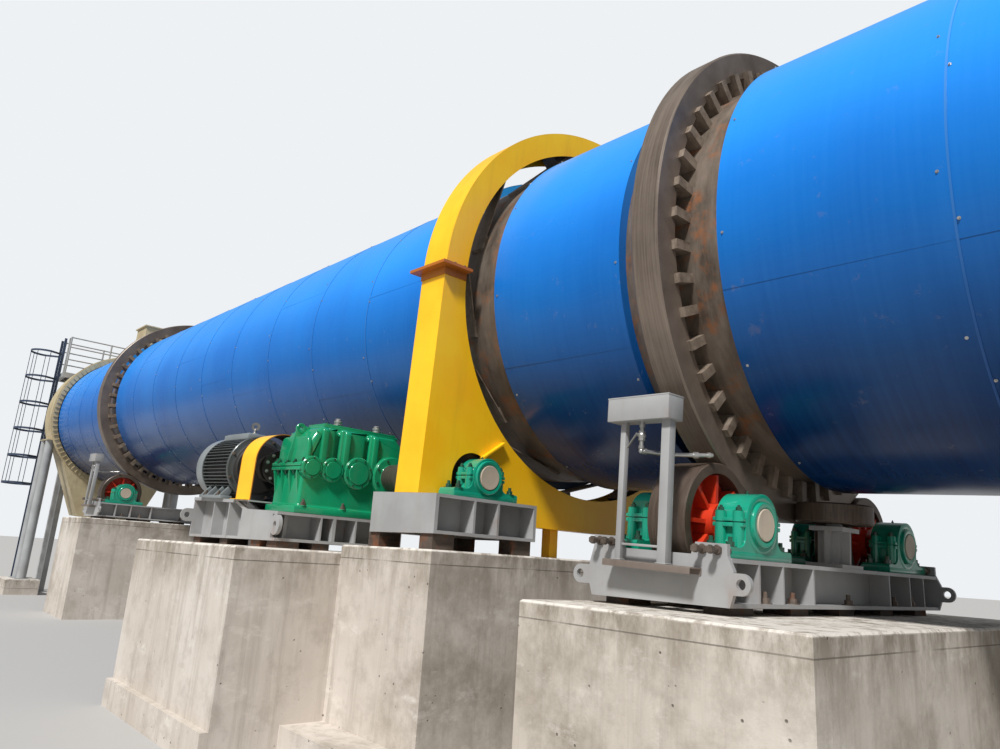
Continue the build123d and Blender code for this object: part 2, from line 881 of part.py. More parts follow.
def make_motor():
    """Finned motor with terminal box, feet and fan cowl."""
    length = motor_end - motor_tail
    with BuildPart() as motor:
        with BuildSketch(Plane.YZ.offset(motor_tail + 250)):
            Circle(motor_radius - 42)
        extrude(amount=length - 250)
        with BuildSketch(Plane.YZ.offset(motor_tail + 230)):
            with PolarLocations(motor_radius - 36, 56):
                Rectangle(60, 9)
        extrude(amount=length - 330)
        with Locations(((motor_end + motor_tail) / 2 - 5, 0, motor_radius - 10)):
            Box(620, 210, 90)
        with BuildSketch(Plane.YZ.offset(motor_end - 80)):
            Circle(motor_radius)
        extrude(amount=50)
        for side in (-1, 1):
            with Locations(((motor_end + motor_tail) / 2 + 110, side * 254, -motor_height + 15)):
                Box(560, 110, 30)
            for x in (-150, 150):
                with Locations(((motor_end + motor_tail) / 2 + 110 + x, side * 235, -motor_height + 110)):
                    Box(46, 60, 180)
        with BuildSketch(Plane.YZ.offset(motor_tail + 40)):
            Circle(motor_radius)
        extrude(amount=200)
        chamfer(motor.edges().filter_by(GeomType.CIRCLE).group_by(Axis.X)[0], 14)
        with BuildSketch(Plane.YZ.offset(motor_tail)):
            Circle(motor_radius - 50)
        extrude(amount=41)
        with BuildSketch(Plane.YZ.offset(motor_end - 120)):
            Circle(motor_shaft + shaft_fit)
        extrude(amount=200, mode=Mode.SUBTRACT)
    save(motor.part.moved(Location((0, input_at, pinion_z))), "motor", lean)
    with BuildPart() as coupling:
        with BuildSketch(Plane.XZ):
            with BuildLine():
                start = motor_end - 100
                stop = reducer_x[0] + 90
                middle = (motor_end + reducer_x[0]) / 2 - 20
                Polyline(
                    (start, 0),
                    (start, motor_shaft),
                    (middle - 110, motor_shaft),
                    (middle - 110, 80),
                    (middle - 40, 80),
                    (middle - 40, 125),
                    (middle + 40, 125),
                    (middle + 40, 80),
                    (middle + 110, 80),
                    (middle + 110, motor_shaft),
                    (stop, motor_shaft),
                    (stop, 0),
                    close=True,
                )
            make_face()
        revolve(axis=Axis.X)
    save(coupling.part.moved(Location((0, input_at, pinion_z))), "motor_coupling", lean)
    seat = motor_height - seat_gap
    with BuildPart() as cover:
        with BuildSketch(Plane.YZ.offset(guard_band[0])):
            for bend, mode in ((guard_bend, Mode.ADD), (guard_bend - 4, Mode.SUBTRACT)):
                with Locations((0, guard_rise)):
                    Circle(bend, mode=mode)
                with Locations((0, (guard_rise - seat) / 2)):
                    Rectangle(2 * bend, guard_rise + seat, mode=mode)
        extrude(amount=guard_band[1] - guard_band[0])
        for side in (-1, 1):
            with Locations(((guard_band[0] + guard_band[1]) / 2, side * 285, -seat + 2)):
                Box(guard_band[1] - guard_band[0], 60, 4)
    save(cover.part.moved(Location((0, input_at, pinion_z))), "coupling_guard", lean)


def make_drive_base():
    """Ribbed base under the reducer with a raised pedestal for the motor at its far end."""
    foot = drive_base_foot
    top = reducer_foot
    high = pinion_z - motor_height
    x_low, x_high = drive_base_x
    y_low, y_high = drive_base_y
    left = level_x(x_low, high)
    knee = level_x(pedestal_x[1], high)
    slant = level_x(pedestal_x[1] + 275, top)
    right = level_x(x_high, top)
    front_from = right - 728
    front_to = right - 86
    with BuildPart() as base:
        for y in (y_low + end_plate / 2, y_low + web_depth, y_low + 530, y_high - end_plate / 2):
            low_end = y > y_low + 600
            with BuildSketch(Plane.XZ.offset(-y)):
                with BuildLine():
                    if low_end:
                        Polyline(
                            (level_x(reducer_x[0] - 60, top), foot),
                            (right, foot),
                            (right, deck(top, right)),
                            (level_x(reducer_x[0] - 60, top), deck(top, level_x(reducer_x[0] - 60, top))),
                            close=True,
                        )
                    elif y < y_low + end_plate:
                        Polyline(
                            (front_from, foot),
                            (front_to, foot),
                            (front_to, deck(top, front_to)),
                            (slant, deck(top, slant)),
                            (knee, deck(high, knee)),
                            (knee - strap, deck(high, knee - strap)),
                            (front_from, deck(top, front_from)),
                            close=True,
                        )
                    elif y < y_low + 2 * web_depth:
                        Polyline(
                            (left, foot),
                            (front_to, foot),
                            (front_to, deck(top, front_to)),
                            (slant, deck(top, slant)),
                            (knee, deck(high, knee)),
                            (left, deck(high, left)),
                            close=True,
                        )
                    else:
                        Polyline(
                            (left, foot),
                            (right, foot),
                            (right, deck(top, right)),
                            (slant, deck(top, slant)),
                            (knee, deck(high, knee)),
                            (left, deck(high, left)),
                            close=True,
                        )
                make_face()
            extrude(amount=end_plate / 2, both=True)
        for x in (left, knee - 494, knee - 124):
            with BuildSketch(Plane.XZ.offset(-(y_low + 265))):
                with BuildLine():
                    Polyline(
                        (x, foot + 1),
                        (x + rib, foot + 1),
                        (x + rib, deck(high - 1, x + rib)),
                        (x, deck(high - 1, x)),
                        close=True,
                    )
                make_face()
            extrude(amount=270, both=True)
        with BuildSketch(Plane.XZ.offset(-(y_low + 265))):
            with BuildLine():
                Polyline(
                    (left, deck(high - 30, left)),
                    (knee, deck(high - 30, knee)),
                    (knee, deck(high, knee)),
                    (left, deck(high, left)),
                    close=True,
                )
            make_face()
            with BuildLine():
                shelf = level_x(guard_band[1] + 20, high)
                Polyline(
                    (knee - 1, deck(high - 12, knee - 1)),
                    (shelf, deck(high - 12, shelf)),
                    (shelf, deck(high, shelf)),
                    (knee - 1, deck(high, knee - 1)),
                    close=True,
                )
            make_face()
        extrude(amount=275, both=True)
        with BuildSketch(Plane.XZ.offset(-(y_low + 265))):
            with BuildLine():
                Polyline((left, foot), (right, foot), (right, foot + flange), (left, foot + flange), close=True)
            make_face()
        extrude(amount=265, both=True)
        start = level_x(reducer_x[0] - 60, top)
        with BuildSketch(Plane.XZ.offset(-(y_low + y_high) / 2)):
            with BuildLine():
                Polyline((start, foot), (right, foot), (right, foot + flange), (start, foot + flange), close=True)
            make_face()
            with BuildLine():
                Polyline(
                    (start, deck(top - flange, start)),
                    (right, deck(top - flange, right)),
                    (right, deck(top, right)),
                    (start, deck(top, start)),
                    close=True,
                )
            make_face()
            for spine in (start + 110, right - beam_reach):
                with BuildLine():
                    Polyline(
                        (spine - web / 2, foot + 1),
                        (spine + web / 2, foot + 1),
                        (spine + web / 2, deck(top - 1, spine + web / 2)),
                        (spine - web / 2, deck(top - 1, spine - web / 2)),
                        close=True,
                    )
                make_face()
        extrude(amount=(y_high - y_low) / 2, both=True)
        for y in (y_low + 405, y_low + 743, y_low + 1064):
            with BuildSketch(Plane.XZ.offset(-y)):
                with BuildLine():
                    Polyline(
                        (start, foot + 1),
                        (right, foot + 1),
                        (right, deck(top - 1, right)),
                        (start, deck(top - 1, start)),
                        close=True,
                    )
                make_face()
            extrude(amount=rib / 2, both=True)
        with BuildSketch(Plane.XZ.offset(-(y_low + end_plate / 2))):
            with Locations((front_to + 55, foot + 130)):
                Circle(84)
                Circle(ear_hole, mode=Mode.SUBTRACT)
        extrude(amount=end_plate / 2, both=True)
        with BuildSketch(Plane.YZ.offset(left)):
            with Locations((y_low - 62, foot + 208)):
                Circle(ear_radius + 6)
            with Locations((y_low - 26, foot + 208)):
                Rectangle(72, 2 * ear_radius + 12)
            with Locations((y_low - 62, foot + 208)):
                Circle(ear_hole, mode=Mode.SUBTRACT)
        extrude(amount=rib)
    save(base.part, "drive_base")


# guard over the girth gear
def make_gear_guard():
    """Hollow guard in two halves: a round hood above, a skirt with its oil pan below."""
    half = guard_width / 2
    knee = (guard_radius * sin(radians(50)), -guard_radius * cos(radians(50)))
    outline = [
        (-guard_radius, guard_split),
        (pinion_base_y[0] - 1, pinion_base_top + seat_gap),
        (-1840, pinion_base_top + seat_gap),
        (-1840, guard_pan),
        (-800, guard_pan),
        (-742, guard_foot),
        (900, guard_foot),
        knee,
        (0, 0),
        (0, guard_split),
    ]
    with BuildPart() as guard:
        with BuildSketch(Plane.YZ.offset(-half)):
            Circle(guard_radius)
            with BuildLine():
                Polyline(*outline, close=True)
            make_face()
        extrude(amount=guard_width)
        with BuildSketch(Plane.YZ.offset(-half + guard_plate)):
            Circle(guard_radius)
            with BuildLine():
                Polyline(*outline, close=True)
            make_face()
            offset(amount=-guard_plate, kind=Kind.INTERSECTION, mode=Mode.REPLACE)
        extrude(amount=guard_width - 2 * guard_plate, mode=Mode.SUBTRACT)
        with BuildSketch(Plane.YZ.offset(-half - 1)):
            Circle(guard_bore)
            with Locations((pinion_y, pinion_z)):
                Circle(cutout_radius)
            with Locations((pinion_y, (pinion_z + pinion_base_top) / 2)):
                Rectangle(2 * cutout_radius, pinion_z - pinion_base_top)
        extrude(amount=guard_width + 2, mode=Mode.SUBTRACT)
    reach = guard_radius + guard_lip - guard_bore
    inside = guard_radius - guard_bore - guard_plate
    for name, keep, side in (("upper", Keep.TOP, 1), ("lower", Keep.BOTTOM, -1)):
        with BuildPart() as half_guard:
            add(guard.part)
            split(bisect_by=Plane.XY.offset(guard_split), keep=keep)
            for hand in (-1, 1):
                with Locations((0, hand * (guard_bore + reach / 2), guard_split + side * 6)):
                    Box(guard_width + 2 * guard_lip, reach, 12)
                with Locations((0, hand * (guard_bore + inside / 2), guard_split + side * 6)):
                    Box(guard_width - 2 * guard_plate, inside + 0.1, 14, mode=Mode.SUBTRACT)
            if name == "lower":
                with BuildSketch(Plane.YZ.offset(half - 1)):
                    with BuildLine():
                        Polyline(
                            (-1126, -1321),
                            (-1349, -1477),
                            (-1357, -1465),
                            (-1134, -1309),
                            close=True,
                        )
                    make_face()
                extrude(amount=46)
        if name == "upper":
            save(half_guard.part, "gear_guard_upper", lean)
    with BuildPart() as lower:
        add(half_guard.part.moved(lean))
        for y in (-300, 700):
            with BuildSketch(Plane.XZ.offset(-y)):
                with BuildLine():
                    Polyline(
                        (-150, pinion_pier_top),
                        (-50, pinion_pier_top),
                        (-50, deck(guard_foot, -50)),
                        (-150, deck(guard_foot, -150)),
                        close=True,
                    )
                make_face()
            extrude(amount=50, both=True)
    save(lower.part, "gear_guard_lower")


# feed and discharge hoods with their columns, platform and ladder
def hood_shape(inset):
    """Cross-section of a hood, `inset` inside its plates: round above its shelf, a hopper below."""
    low = shelf_height + inset
    with BuildSketch() as shape:
        Circle(hood_radius - inset)
        with Locations((0, low - hood_radius)):
            Rectangle(3 * hood_radius, 2 * hood_radius, mode=Mode.SUBTRACT)
        with BuildLine():
            Polyline(
                (-hopper_edge + inset, low + 1),
                (-hopper_edge + inset, shelf_height),
                (-chute_half + inset, chute_mouth),
                (chute_half - inset, chute_mouth),
                (hopper_edge - inset, shelf_height),
                (hopper_edge - inset, low + 1),
                close=True,
            )
        make_face()
    return shape.sketch


def make_hood(name, at, side):
    """Plate casing over the drum's end with an open hopper mouth and a ring for its seal."""
    outside = hood_shape(0)
    inside = hood_shape(hood_plate)
    with BuildPart() as casing:
        with BuildSketch(Plane.YZ.offset(at)):
            add(outside)
            add(inside, mode=Mode.SUBTRACT)
        extrude(amount=side * hood_depth)
        with BuildSketch(Plane.YZ.offset(at)):
            add(outside)
            Circle(seal_radius)
            Circle(seal_bore, mode=Mode.SUBTRACT)
        extrude(amount=side * ring_plate)
        with Locations((at + side * hood_depth / 2, duct_shift, hood_radius)):
            Box(duct_length - 60, duct_width - 60, 800, mode=Mode.SUBTRACT)
        for hand in (-1, 1):
            with Locations((at + side * hood_depth / 2, hand * column_y, shelf_height + 10)):
                Box(hood_depth, 220, 20)
        with BuildSketch(Plane.YZ.offset(at + side * (ring_plate + 1))):
            add(inside)
        extrude(amount=side * hood_depth, mode=Mode.SUBTRACT)
    save(casing.part, f"{name}_hood", lean)
    with BuildPart() as end:
        with BuildSketch(Plane.YZ.offset(at + side * hood_depth)):
            add(outside)
        extrude(amount=side * hood_plate)
    save(end.part, f"{name}_hood_end", lean)
    with BuildPart() as seal:
        with BuildSketch(Plane.YZ.offset(at - side * seat_gap)):
            Circle(seal_radius - 24)
            Circle(seal_bore, mode=Mode.SUBTRACT)
        extrude(amount=-side * 30)
        with BuildSketch(Plane.YZ.offset(at - side * 29)):
            with PolarLocations((seal_radius + seal_bore) / 2 - 12, seal_ribs):
                Rectangle(seal_radius - seal_bore - 40, seal_rib)
        extrude(amount=-side * 26)
    save(seal.part, f"{name}_seal", lean)
    with BuildPart() as duct:
        with BuildSketch(Plane.XY.offset(hood_radius - 200)):
            with Locations((at + side * hood_depth / 2, duct_shift)):
                Rectangle(duct_length, duct_width)
                Rectangle(duct_length - 20, duct_width - 20, mode=Mode.SUBTRACT)
        extrude(amount=duct_top - hood_radius + 200)
        with BuildSketch(Plane.YZ.offset(at - side * 50)):
            Circle(hood_radius + seat_gap)
        extrude(amount=side * (hood_depth + 100), mode=Mode.SUBTRACT)
        with Locations((at + side * hood_depth / 2, duct_shift, duct_top + 15)):
            Box(duct_length + 90, duct_width + 90, 30)
    save(duct.part, f"{name}_duct", lean)


def make_columns(name, at, side):
    """Four tube columns under the shelves of a hood, cut off to the drum's fall."""
    cut = Plane(origin=(0, 0, deck(shelf_height, 0)), z_dir=(sin(slope), 0, cos(slope)))
    places = [level_x(at + side * inset, shelf_height) for inset in column_insets]
    with BuildPart() as columns:
        for x in places:
            for y in (-column_y, column_y):
                with BuildSketch(Plane.XY.offset(plinth_height)):
                    with Locations((x, y)):
                        Circle(column_radius)
                extrude(amount=4200 - plinth_height)
                with BuildSketch(Plane.XY.offset(plinth_height)):
                    with Locations((x, y)):
                        Rectangle(320, 320)
                extrude(amount=20)
        split(bisect_by=cut, keep=Keep.BOTTOM)
    save(columns.part, f"{name}_columns")
    return places


def make_plinths(rows):
    """A low concrete strip under each pair of columns."""
    with BuildPart() as plinths:
        for places in rows:
            for y in (-column_y, column_y):
                with Locations(((places[0] + places[1]) / 2, y, plinth_height / 2)):
                    Box(abs(places[0] - places[1]) + 640, 700, plinth_height)
    save(plinths.part, "column_plinths")


def make_platform():
    """Service platform behind the feed hood on four posts, with rails and a caged ladder."""
    near = level_x(feed_ring_at - hood_depth - hood_plate - 40, 1200)
    far = near - platform_reach
    with BuildPart() as platform:
        with Locations(((near + far) / 2, 0, platform_floor - 4)):
            Box(near - far, 2 * platform_y, 8)
        for y in (-platform_y + 40, -post_y, 0, post_y, platform_y - 40):
            with Locations(((near + far) / 2, y, platform_floor - 67)):
                Box(near - far, 80, 120)
        for x in (near - 40, far + 40):
            with Locations((x, 0, platform_floor - 67)):
                Box(80, 2 * platform_y, 120)
        for x in (near - 230, far + 80):
            for y in (-post_y, post_y):
                with Locations((x, y, (platform_floor - 120) / 2)):
                    Box(110, 110, platform_floor - 120)
                with Locations((x, y, 10)):
                    Box(260, 260, 20)
    save(platform.part, "platform")
    middle = near - ladder_setback - ladder_width / 2
    edge_x = (far + 40, near - 40)
    edge_y = platform_y - 40
    gap = (middle - ladder_width / 2 - 40, middle + ladder_width / 2 + 40)
    uprights = [(x, y) for x in edge_x for y in (-edge_y, -500, 500, edge_y)]
    uprights += [(x, -edge_y) for x in gap]
    runs = ((edge_x[0], gap[0], -edge_y), (gap[1], edge_x[1], -edge_y), (edge_x[0], edge_x[1], edge_y))
    with BuildPart() as rails:
        with BuildSketch(Plane.XY.offset(platform_floor)):
            for x, y in uprights:
                with Locations((x, y)):
                    Circle(upright_radius)
        extrude(amount=rail_height + rail_radius)
        for height in (356, 695, rail_height):
            with BuildSketch(Plane.XZ.offset(edge_y)):
                for x in edge_x:
                    with Locations((x, platform_floor + height)):
                        Circle(rail_radius)
            extrude(amount=-2 * edge_y)
            for start, stop, y in runs:
                with BuildSketch(Plane.YZ.offset(start)):
                    with Locations((y, platform_floor + height)):
                        Circle(rail_radius)
                extrude(amount=stop - start)
    save(rails.part, "handrail")
    top = platform_floor + rail_height
    with BuildPart() as ladder:
        for side in (-1, 1):
            with Locations((middle + side * ladder_width / 2, ladder_y, top / 2)):
                Box(12, 60, top)
            with Locations((middle + side * ladder_width / 2, (ladder_y - platform_y) / 2, platform_floor - 60)):
                Box(12, -ladder_y - platform_y, 60)
        for i in range(18):
            with BuildSketch(Plane.YZ.offset(middle - ladder_width / 2)):
                with Locations((ladder_y, 300 + 300 * i)):
                    Circle(11)
            extrude(amount=ladder_width)
    save(ladder.part, "ladder")
    with BuildPart() as cage:
        for height in (2600, 3290, 3980, 4670, 5360, 6050):
            with BuildSketch(Plane.XY.offset(height)):
                with BuildLine():
                    Line((middle - ladder_width / 2, ladder_y - 25), (middle - 350, ladder_y - 300))
                    ThreePointArc(
                        (middle - 350, ladder_y - 300),
                        (middle, ladder_y - hoop_reach),
                        (middle + 350, ladder_y - 300),
                    )
                    Line((middle + 350, ladder_y - 300), (middle + ladder_width / 2, ladder_y - 25))
                    offset(amount=5, side=Side.BOTH)
                make_face()
            extrude(amount=50)
        for x, y in ((-345, -300), (-262, -583), (0, -hoop_reach + 6), (262, -583), (345, -300)):
            with Locations((middle + x, ladder_y + y, 4350)):
                Box(14, 14, 3500)
        with Locations((middle, ladder_y, 4350)):
            Box(ladder_width + 12 + 2 * run_gap, 60 + 2 * run_gap, 3600, mode=Mode.SUBTRACT)
    save(cage.part, "ladder_cage")


stacks = []
stations = (
    ("right", right_tyre_at, right_pier_size, right_pier_shift),
    ("left", left_tyre_at, left_pier_size, left_pier_shift),
)
for station_name, station_at, size, shift in stations:
    make_station_housings(station_name, station_at)
    foot, centre = make_station_base(station_name, station_at)
    make_oiler(station_name, station_at)
    for x in (-380, 330):
        for y in (-1300, -650, 0, 650, 1300):
            stacks.append((centre + x, y, 180, 220, foot - packing, foot))
    make_pier(
        f"{station_name}_pier",
        (centre + shift - size[0] / 2, centre + shift + size[0] / 2),
        (-size[1] / 2, size[1] / 2),
        foot - packing,
    )
make_pier("motor_pier", motor_pier_x, motor_pier_y, motor_pier_top, toe=toe_reach)
make_pier("pinion_pier", pinion_pier_x, pinion_pier_y, pinion_pier_top, step=step_reach)
make_pinion_base()
make_pinion_housings()
make_reducer()
make_motor()
make_drive_base()
make_gear_guard()
rows = []
for hood_name, hood_at, hood_side in (("feed", feed_ring_at, -1), ("discharge", discharge_ring_at, 1)):
    make_hood(hood_name, hood_at, hood_side)
    rows.append(make_columns(hood_name, hood_at, hood_side))
make_plinths(rows)
make_platform()
for x in (pinion_base_x[0] - 20, pinion_base_x[1] - 180):
    for y in (pinion_base_y[0] + 120, pinion_base_y[1] - 120):
        stacks.append((x, y, 160, 200, pinion_pier_top, pinion_base_foot))
for x in (drive_base_x[0] + 60, -2200, -1500, drive_base_x[1] - 180):
    stacks.append((x, drive_base_y[0] + 130, 180, 200, motor_pier_top, drive_base_foot))
    stacks.append((x, drive_base_y[0] + 430, 180, 160, motor_pier_top, drive_base_foot))
for x in (-1500, drive_base_x[1] - 180):
    stacks.append((x, drive_base_y[1] - 150, 180, 200, motor_pier_top, drive_base_foot))
make_packing(stacks)
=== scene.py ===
from math import cos, pi, radians, sin, tan

import bmesh
import bpy
from mathutils import Matrix, Vector


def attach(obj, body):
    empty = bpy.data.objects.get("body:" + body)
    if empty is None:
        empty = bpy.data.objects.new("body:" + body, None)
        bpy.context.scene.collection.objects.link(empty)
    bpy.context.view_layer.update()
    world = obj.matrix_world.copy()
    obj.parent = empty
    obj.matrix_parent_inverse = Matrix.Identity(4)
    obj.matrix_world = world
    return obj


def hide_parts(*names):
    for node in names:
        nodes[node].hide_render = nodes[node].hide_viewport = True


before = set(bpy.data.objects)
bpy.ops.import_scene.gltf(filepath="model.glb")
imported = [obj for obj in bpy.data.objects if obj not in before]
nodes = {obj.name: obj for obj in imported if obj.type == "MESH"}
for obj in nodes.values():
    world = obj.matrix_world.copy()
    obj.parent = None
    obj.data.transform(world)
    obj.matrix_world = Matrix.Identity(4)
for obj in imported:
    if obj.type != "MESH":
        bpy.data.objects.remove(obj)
scene = bpy.context.scene
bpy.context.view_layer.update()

# The drum leans; pieces drawn along it are made level, in mm, and leaned when they are finished.
drum = {
    "axisHeight": 3770.0,
    "fall": 2.126,
    "tyres": {"right": 2068.0, "left": -11239.0},
}
slope = radians(drum["fall"])


def deckHeight(level, x):
    # height above the ground, at the place x, of a level that leans with the drum
    return drum["axisHeight"] - x * tan(slope) + level / cos(slope)


def levelX(x, level):
    return x * cos(slope) + level * sin(slope)


# ---- camera and light
view = {
    "place": (4.681, -5.153, 1.507),
    "right": (0.66444, 0.74477, 0.06254),
    "up": (0.14258, -0.20847, 0.96764),
    "lens": 26.33,
}
forward = Vector(view["right"]).cross(Vector(view["up"])) * -1
cameraData = bpy.data.cameras.new("photoCamera")
cameraData.lens = view["lens"]
cameraData.sensor_width = 36
cameraData.clip_end = 900
camera = bpy.data.objects.new("photoCamera", cameraData)
camera.matrix_world = Matrix((
    (view["right"][0], view["up"][0], -forward[0], view["place"][0]),
    (view["right"][1], view["up"][1], -forward[1], view["place"][1]),
    (view["right"][2], view["up"][2], -forward[2], view["place"][2]),
    (0, 0, 0, 1),
))
scene.collection.objects.link(camera)
scene.camera = camera
scene.view_settings.view_transform = "Standard"


def hexColour(code):
    # sRGB hex to the linear values that the shaders take
    parts = [int(code.lstrip("#")[i:i + 2], 16) / 255 for i in (0, 2, 4)]
    return [p / 12.92 if p <= 0.04045 else ((p + 0.055) / 1.055) ** 2.4 for p in parts] + [1.0]


def setSockets(tree, node, values):
    for key, value in values.items():
        if isinstance(value, bpy.types.NodeSocket):
            tree.links.new(value, node.inputs[key])
        else:
            node.inputs[key].default_value = value


def addNode(tree, kind, inputs=None, **settings):
    node = tree.nodes.new(kind)
    for key, value in settings.items():
        setattr(node, key, value)
    setSockets(tree, node, inputs or {})
    return node


def ramp(tree, value, low=0.0, high=1.0, start=0.0, stop=1.0):
    # a factor that runs from start to stop while the value goes from low to high
    return addNode(tree, "ShaderNodeMapRange", {
        "Value": value, "From Min": low, "From Max": high, "To Min": start, "To Max": stop}).outputs[0]


light = {"sky": 0.47, "background": "#eef1f4", "reflected": 0.3, "key": 4.15, "keyAngle": 7,
         "keyFrom": (0.44, -0.95, 1.15)}
world = bpy.data.worlds.new("studio")
scene.world = world
world.use_nodes = True
tree = world.node_tree
path = addNode(tree, "ShaderNodeLightPath")
seen = addNode(tree, "ShaderNodeMath", {
    0: path.outputs["Is Camera Ray"], 1: path.outputs["Is Transmission Ray"]}, operation="ADD", use_clamp=True)
mirrored = ramp(tree, path.outputs["Is Glossy Ray"], start=light["sky"], stop=light["reflected"])
strength = ramp(tree, seen.outputs[0], start=mirrored)
setSockets(tree, tree.nodes["Background"], {"Color": hexColour(light["background"]), "Strength": strength})
keyData = bpy.data.lights.new("softKey", "SUN")
keyData.energy = light["key"]
keyData.angle = radians(light["keyAngle"])
keyLamp = bpy.data.objects.new("softKey", keyData)
keyLamp.rotation_euler = Vector(light["keyFrom"]).to_track_quat("Z", "Y").to_euler()
scene.collection.objects.link(keyLamp)
print("camera and light are set")


# ---- materials
def startMaterial(name):
    material = bpy.data.materials.new(name)
    material.use_nodes = True
    shader = material.node_tree.nodes["Principled BSDF"]
    where = addNode(material.node_tree, "ShaderNodeTexCoord").outputs["Object"]
    return material, material.node_tree, shader, where


def stretched(tree, where, scale, location=(0, 0, 0)):
    return addNode(tree, "ShaderNodeMapping", {
        "Vector": where, "Scale": scale, "Location": location}).outputs[0]


def alongDrum(tree, where, scale=(1, 1, 1)):
    # Object coordinates turned so that X runs along the leaning drum and its axis is at zero
    turned = addNode(tree, "ShaderNodeMapping", {
        "Vector": where, "Location": (0.13986, 0, -3.7674), "Rotation": (0, -0.0371057, 0)}).outputs[0]
    return turned if scale == (1, 1, 1) else stretched(tree, turned, scale)


def grain(tree, where, perMetre, detail=2.0, roughness=0.5):
    return addNode(tree, "ShaderNodeTexNoise", {
        "Vector": where, "Scale": perMetre, "Detail": detail, "Roughness": roughness}).outputs["Fac"]


def cloud(tree, where, perMetre, detail=4.0, roughness=0.55, low=0.35, high=0.65, amount=1.0):
    # soft patches, `perMetre` of them in a metre, as a factor from 0 to `amount`
    return ramp(tree, grain(tree, where, perMetre, detail, roughness), low, high, stop=amount)


def relief(tree, height, strength, metres, under=None, invert=False):
    # bump that raises the surface by up to `metres`, over an earlier one where there is one
    inputs = {"Height": height, "Strength": strength, "Distance": metres}
    if under is not None:
        inputs["Normal"] = under
    return addNode(tree, "ShaderNodeBump", inputs, invert=invert).outputs[0]


def blendColour(tree, factor, under, over):
    mix = addNode(tree, "ShaderNodeMix", data_type="RGBA")
    for socket, value in (("Factor_Float", factor), ("A_Color", under), ("B_Color", over)):
        place = next(s for s in mix.inputs if s.identifier == socket)
        if isinstance(value, bpy.types.NodeSocket):
            tree.links.new(value, place)
        else:
            place.default_value = hexColour(value) if isinstance(value, str) else value
    return next(s for s in mix.outputs if s.identifier == "Result_Color")


def times(tree, one, two, operation="MULTIPLY", clamp=False):
    return addNode(tree, "ShaderNodeMath", {0: one, 1: two}, operation=operation, use_clamp=clamp).outputs[0]


def coilCoatedSheet(name, look):
    # colour-coated aluminium jacketing: a smooth gloss, oil-canned, dusty on top and where rain has splashed;
    # painted light makes it lighter on top and painted shade deep navy below
    material, tree, shader, where = startMaterial(name)
    height = addNode(tree, "ShaderNodeSeparateXYZ", {"Vector": alongDrum(tree, where)}).outputs["Z"]
    tone = cloud(tree, alongDrum(tree, where, (0.86, 0.5, 0.5)), 1.0, 3)
    colour = blendColour(tree, times(tree, tone, 0.6), look["colour"], look["shade"])
    # painted highlight: the colour turns lighter towards the top, standing in for sun and sky light on the upper
    # side
    colour = blendColour(tree, ramp(tree, height, 0.1, 1.3, stop=0.8), colour, look["paintedLightOnTop"])
    # painted shade: the colour turns deep navy towards the bottom, standing in for shade and the dark ground
    # reflected underneath
    colour = blendColour(tree, ramp(tree, height, 0.5, -1.3, stop=0.95), colour, look["under"])
    streak = cloud(tree, alongDrum(tree, where, (34, 1.2, 1.2)), 1.0, 4, 0.6, 0.35, 0.75)
    colour = blendColour(tree, times(tree, streak, 0.05), colour, look["streak"])
    dust = times(tree, ramp(tree, height, 1.35, 1.6, stop=0.6), cloud(tree, where, 3.5, 8, 0.65, 0.25, 0.7))
    splash = cloud(tree, where, 7, 10, 0.7, 0.62, 0.76, look["splash"])
    for dirt in (dust, splash):
        colour = blendColour(tree, dirt, colour, look["dust"])
    rough = times(tree, ramp(tree, tone, 0, 1, *look["roughness"]),
                  times(tree, times(tree, dust, splash, "MAXIMUM"), 0.4), "ADD")
    canning = grain(tree, alongDrum(tree, where, (1.5, 0.9, 0.9)), 1.0, 2, 0.4)
    normal = relief(tree, canning, 0.6, look["canning"] / 1000)
    normal = relief(tree, grain(tree, where, 5.0, 1), 0.25, 0.004, normal)
    setSockets(tree, shader, {
        "Base Color": colour, "Roughness": rough, "Specular IOR Level": 0.3, "Normal": normal})
    return material


def enamelPaint(name, look):
    # brushed or sprayed machine enamel over castings and plate: dust in hollows, chips that rust
    material, tree, shader, where = startMaterial(name)
    if look.get("leaned", True):
        where = alongDrum(tree, where)
    colour = blendColour(tree, cloud(tree, where, look.get("patches", 2.2), 4), look["colour"], look["shade"])
    if "flange" in look:
        height = addNode(tree, "ShaderNodeSeparateXYZ", {"Vector": where}).outputs["Z"]
        flange = look["flange"]
        band = addNode(tree, "ShaderNodeMath", {
            0: height, 1: flange["height"], 2: flange["half"]}, operation="COMPARE").outputs[0]
        colour = blendColour(tree, band, colour, flange["colour"])
    dirt = cloud(tree, stretched(tree, where, (9, 9, 0.9)), 1.0, 8, 0.65, 0.52, 0.80, look["dirt"])
    colour = blendColour(tree, dirt, colour, look["dirtColour"])
    chips = cloud(tree, where, 26, 8, 0.72, 0.69, 0.72, 0.9)
    chips = times(tree, chips, cloud(tree, where, 1.7, 3, 0.5, 0.50, 0.66, look["rust"]))
    colour = blendColour(tree, chips, colour, look["rustColour"])
    if "stain" in look:
        bleed = cloud(tree, stretched(tree, where, (7, 7, 2.2)), 1.0, 7, 0.62, 0.56, 0.78)
        bleed = times(tree, bleed, cloud(tree, where, 1.1, 2, 0.5, 0.5, 0.64))
        colour = blendColour(tree, times(tree, bleed, look["stain"]), colour, look["rustColour"])
    rough = ramp(tree, times(tree, dirt, chips, "MAXIMUM"), 0, 1, *look["roughness"])
    skin = grain(tree, where, 1000 / look.get("grain", 14), 3)
    normal = relief(tree, skin, 0.22, look.get("depth", 0.5) / 1000)
    normal = relief(tree, chips, 0.4, 0.0006, normal, invert=True)
    setSockets(tree, shader, {"Base Color": colour, "Roughness": rough, "Coat Weight": look.get("coat", 0.2),
                              "Coat Roughness": 0.15, "Normal": normal})
    return material


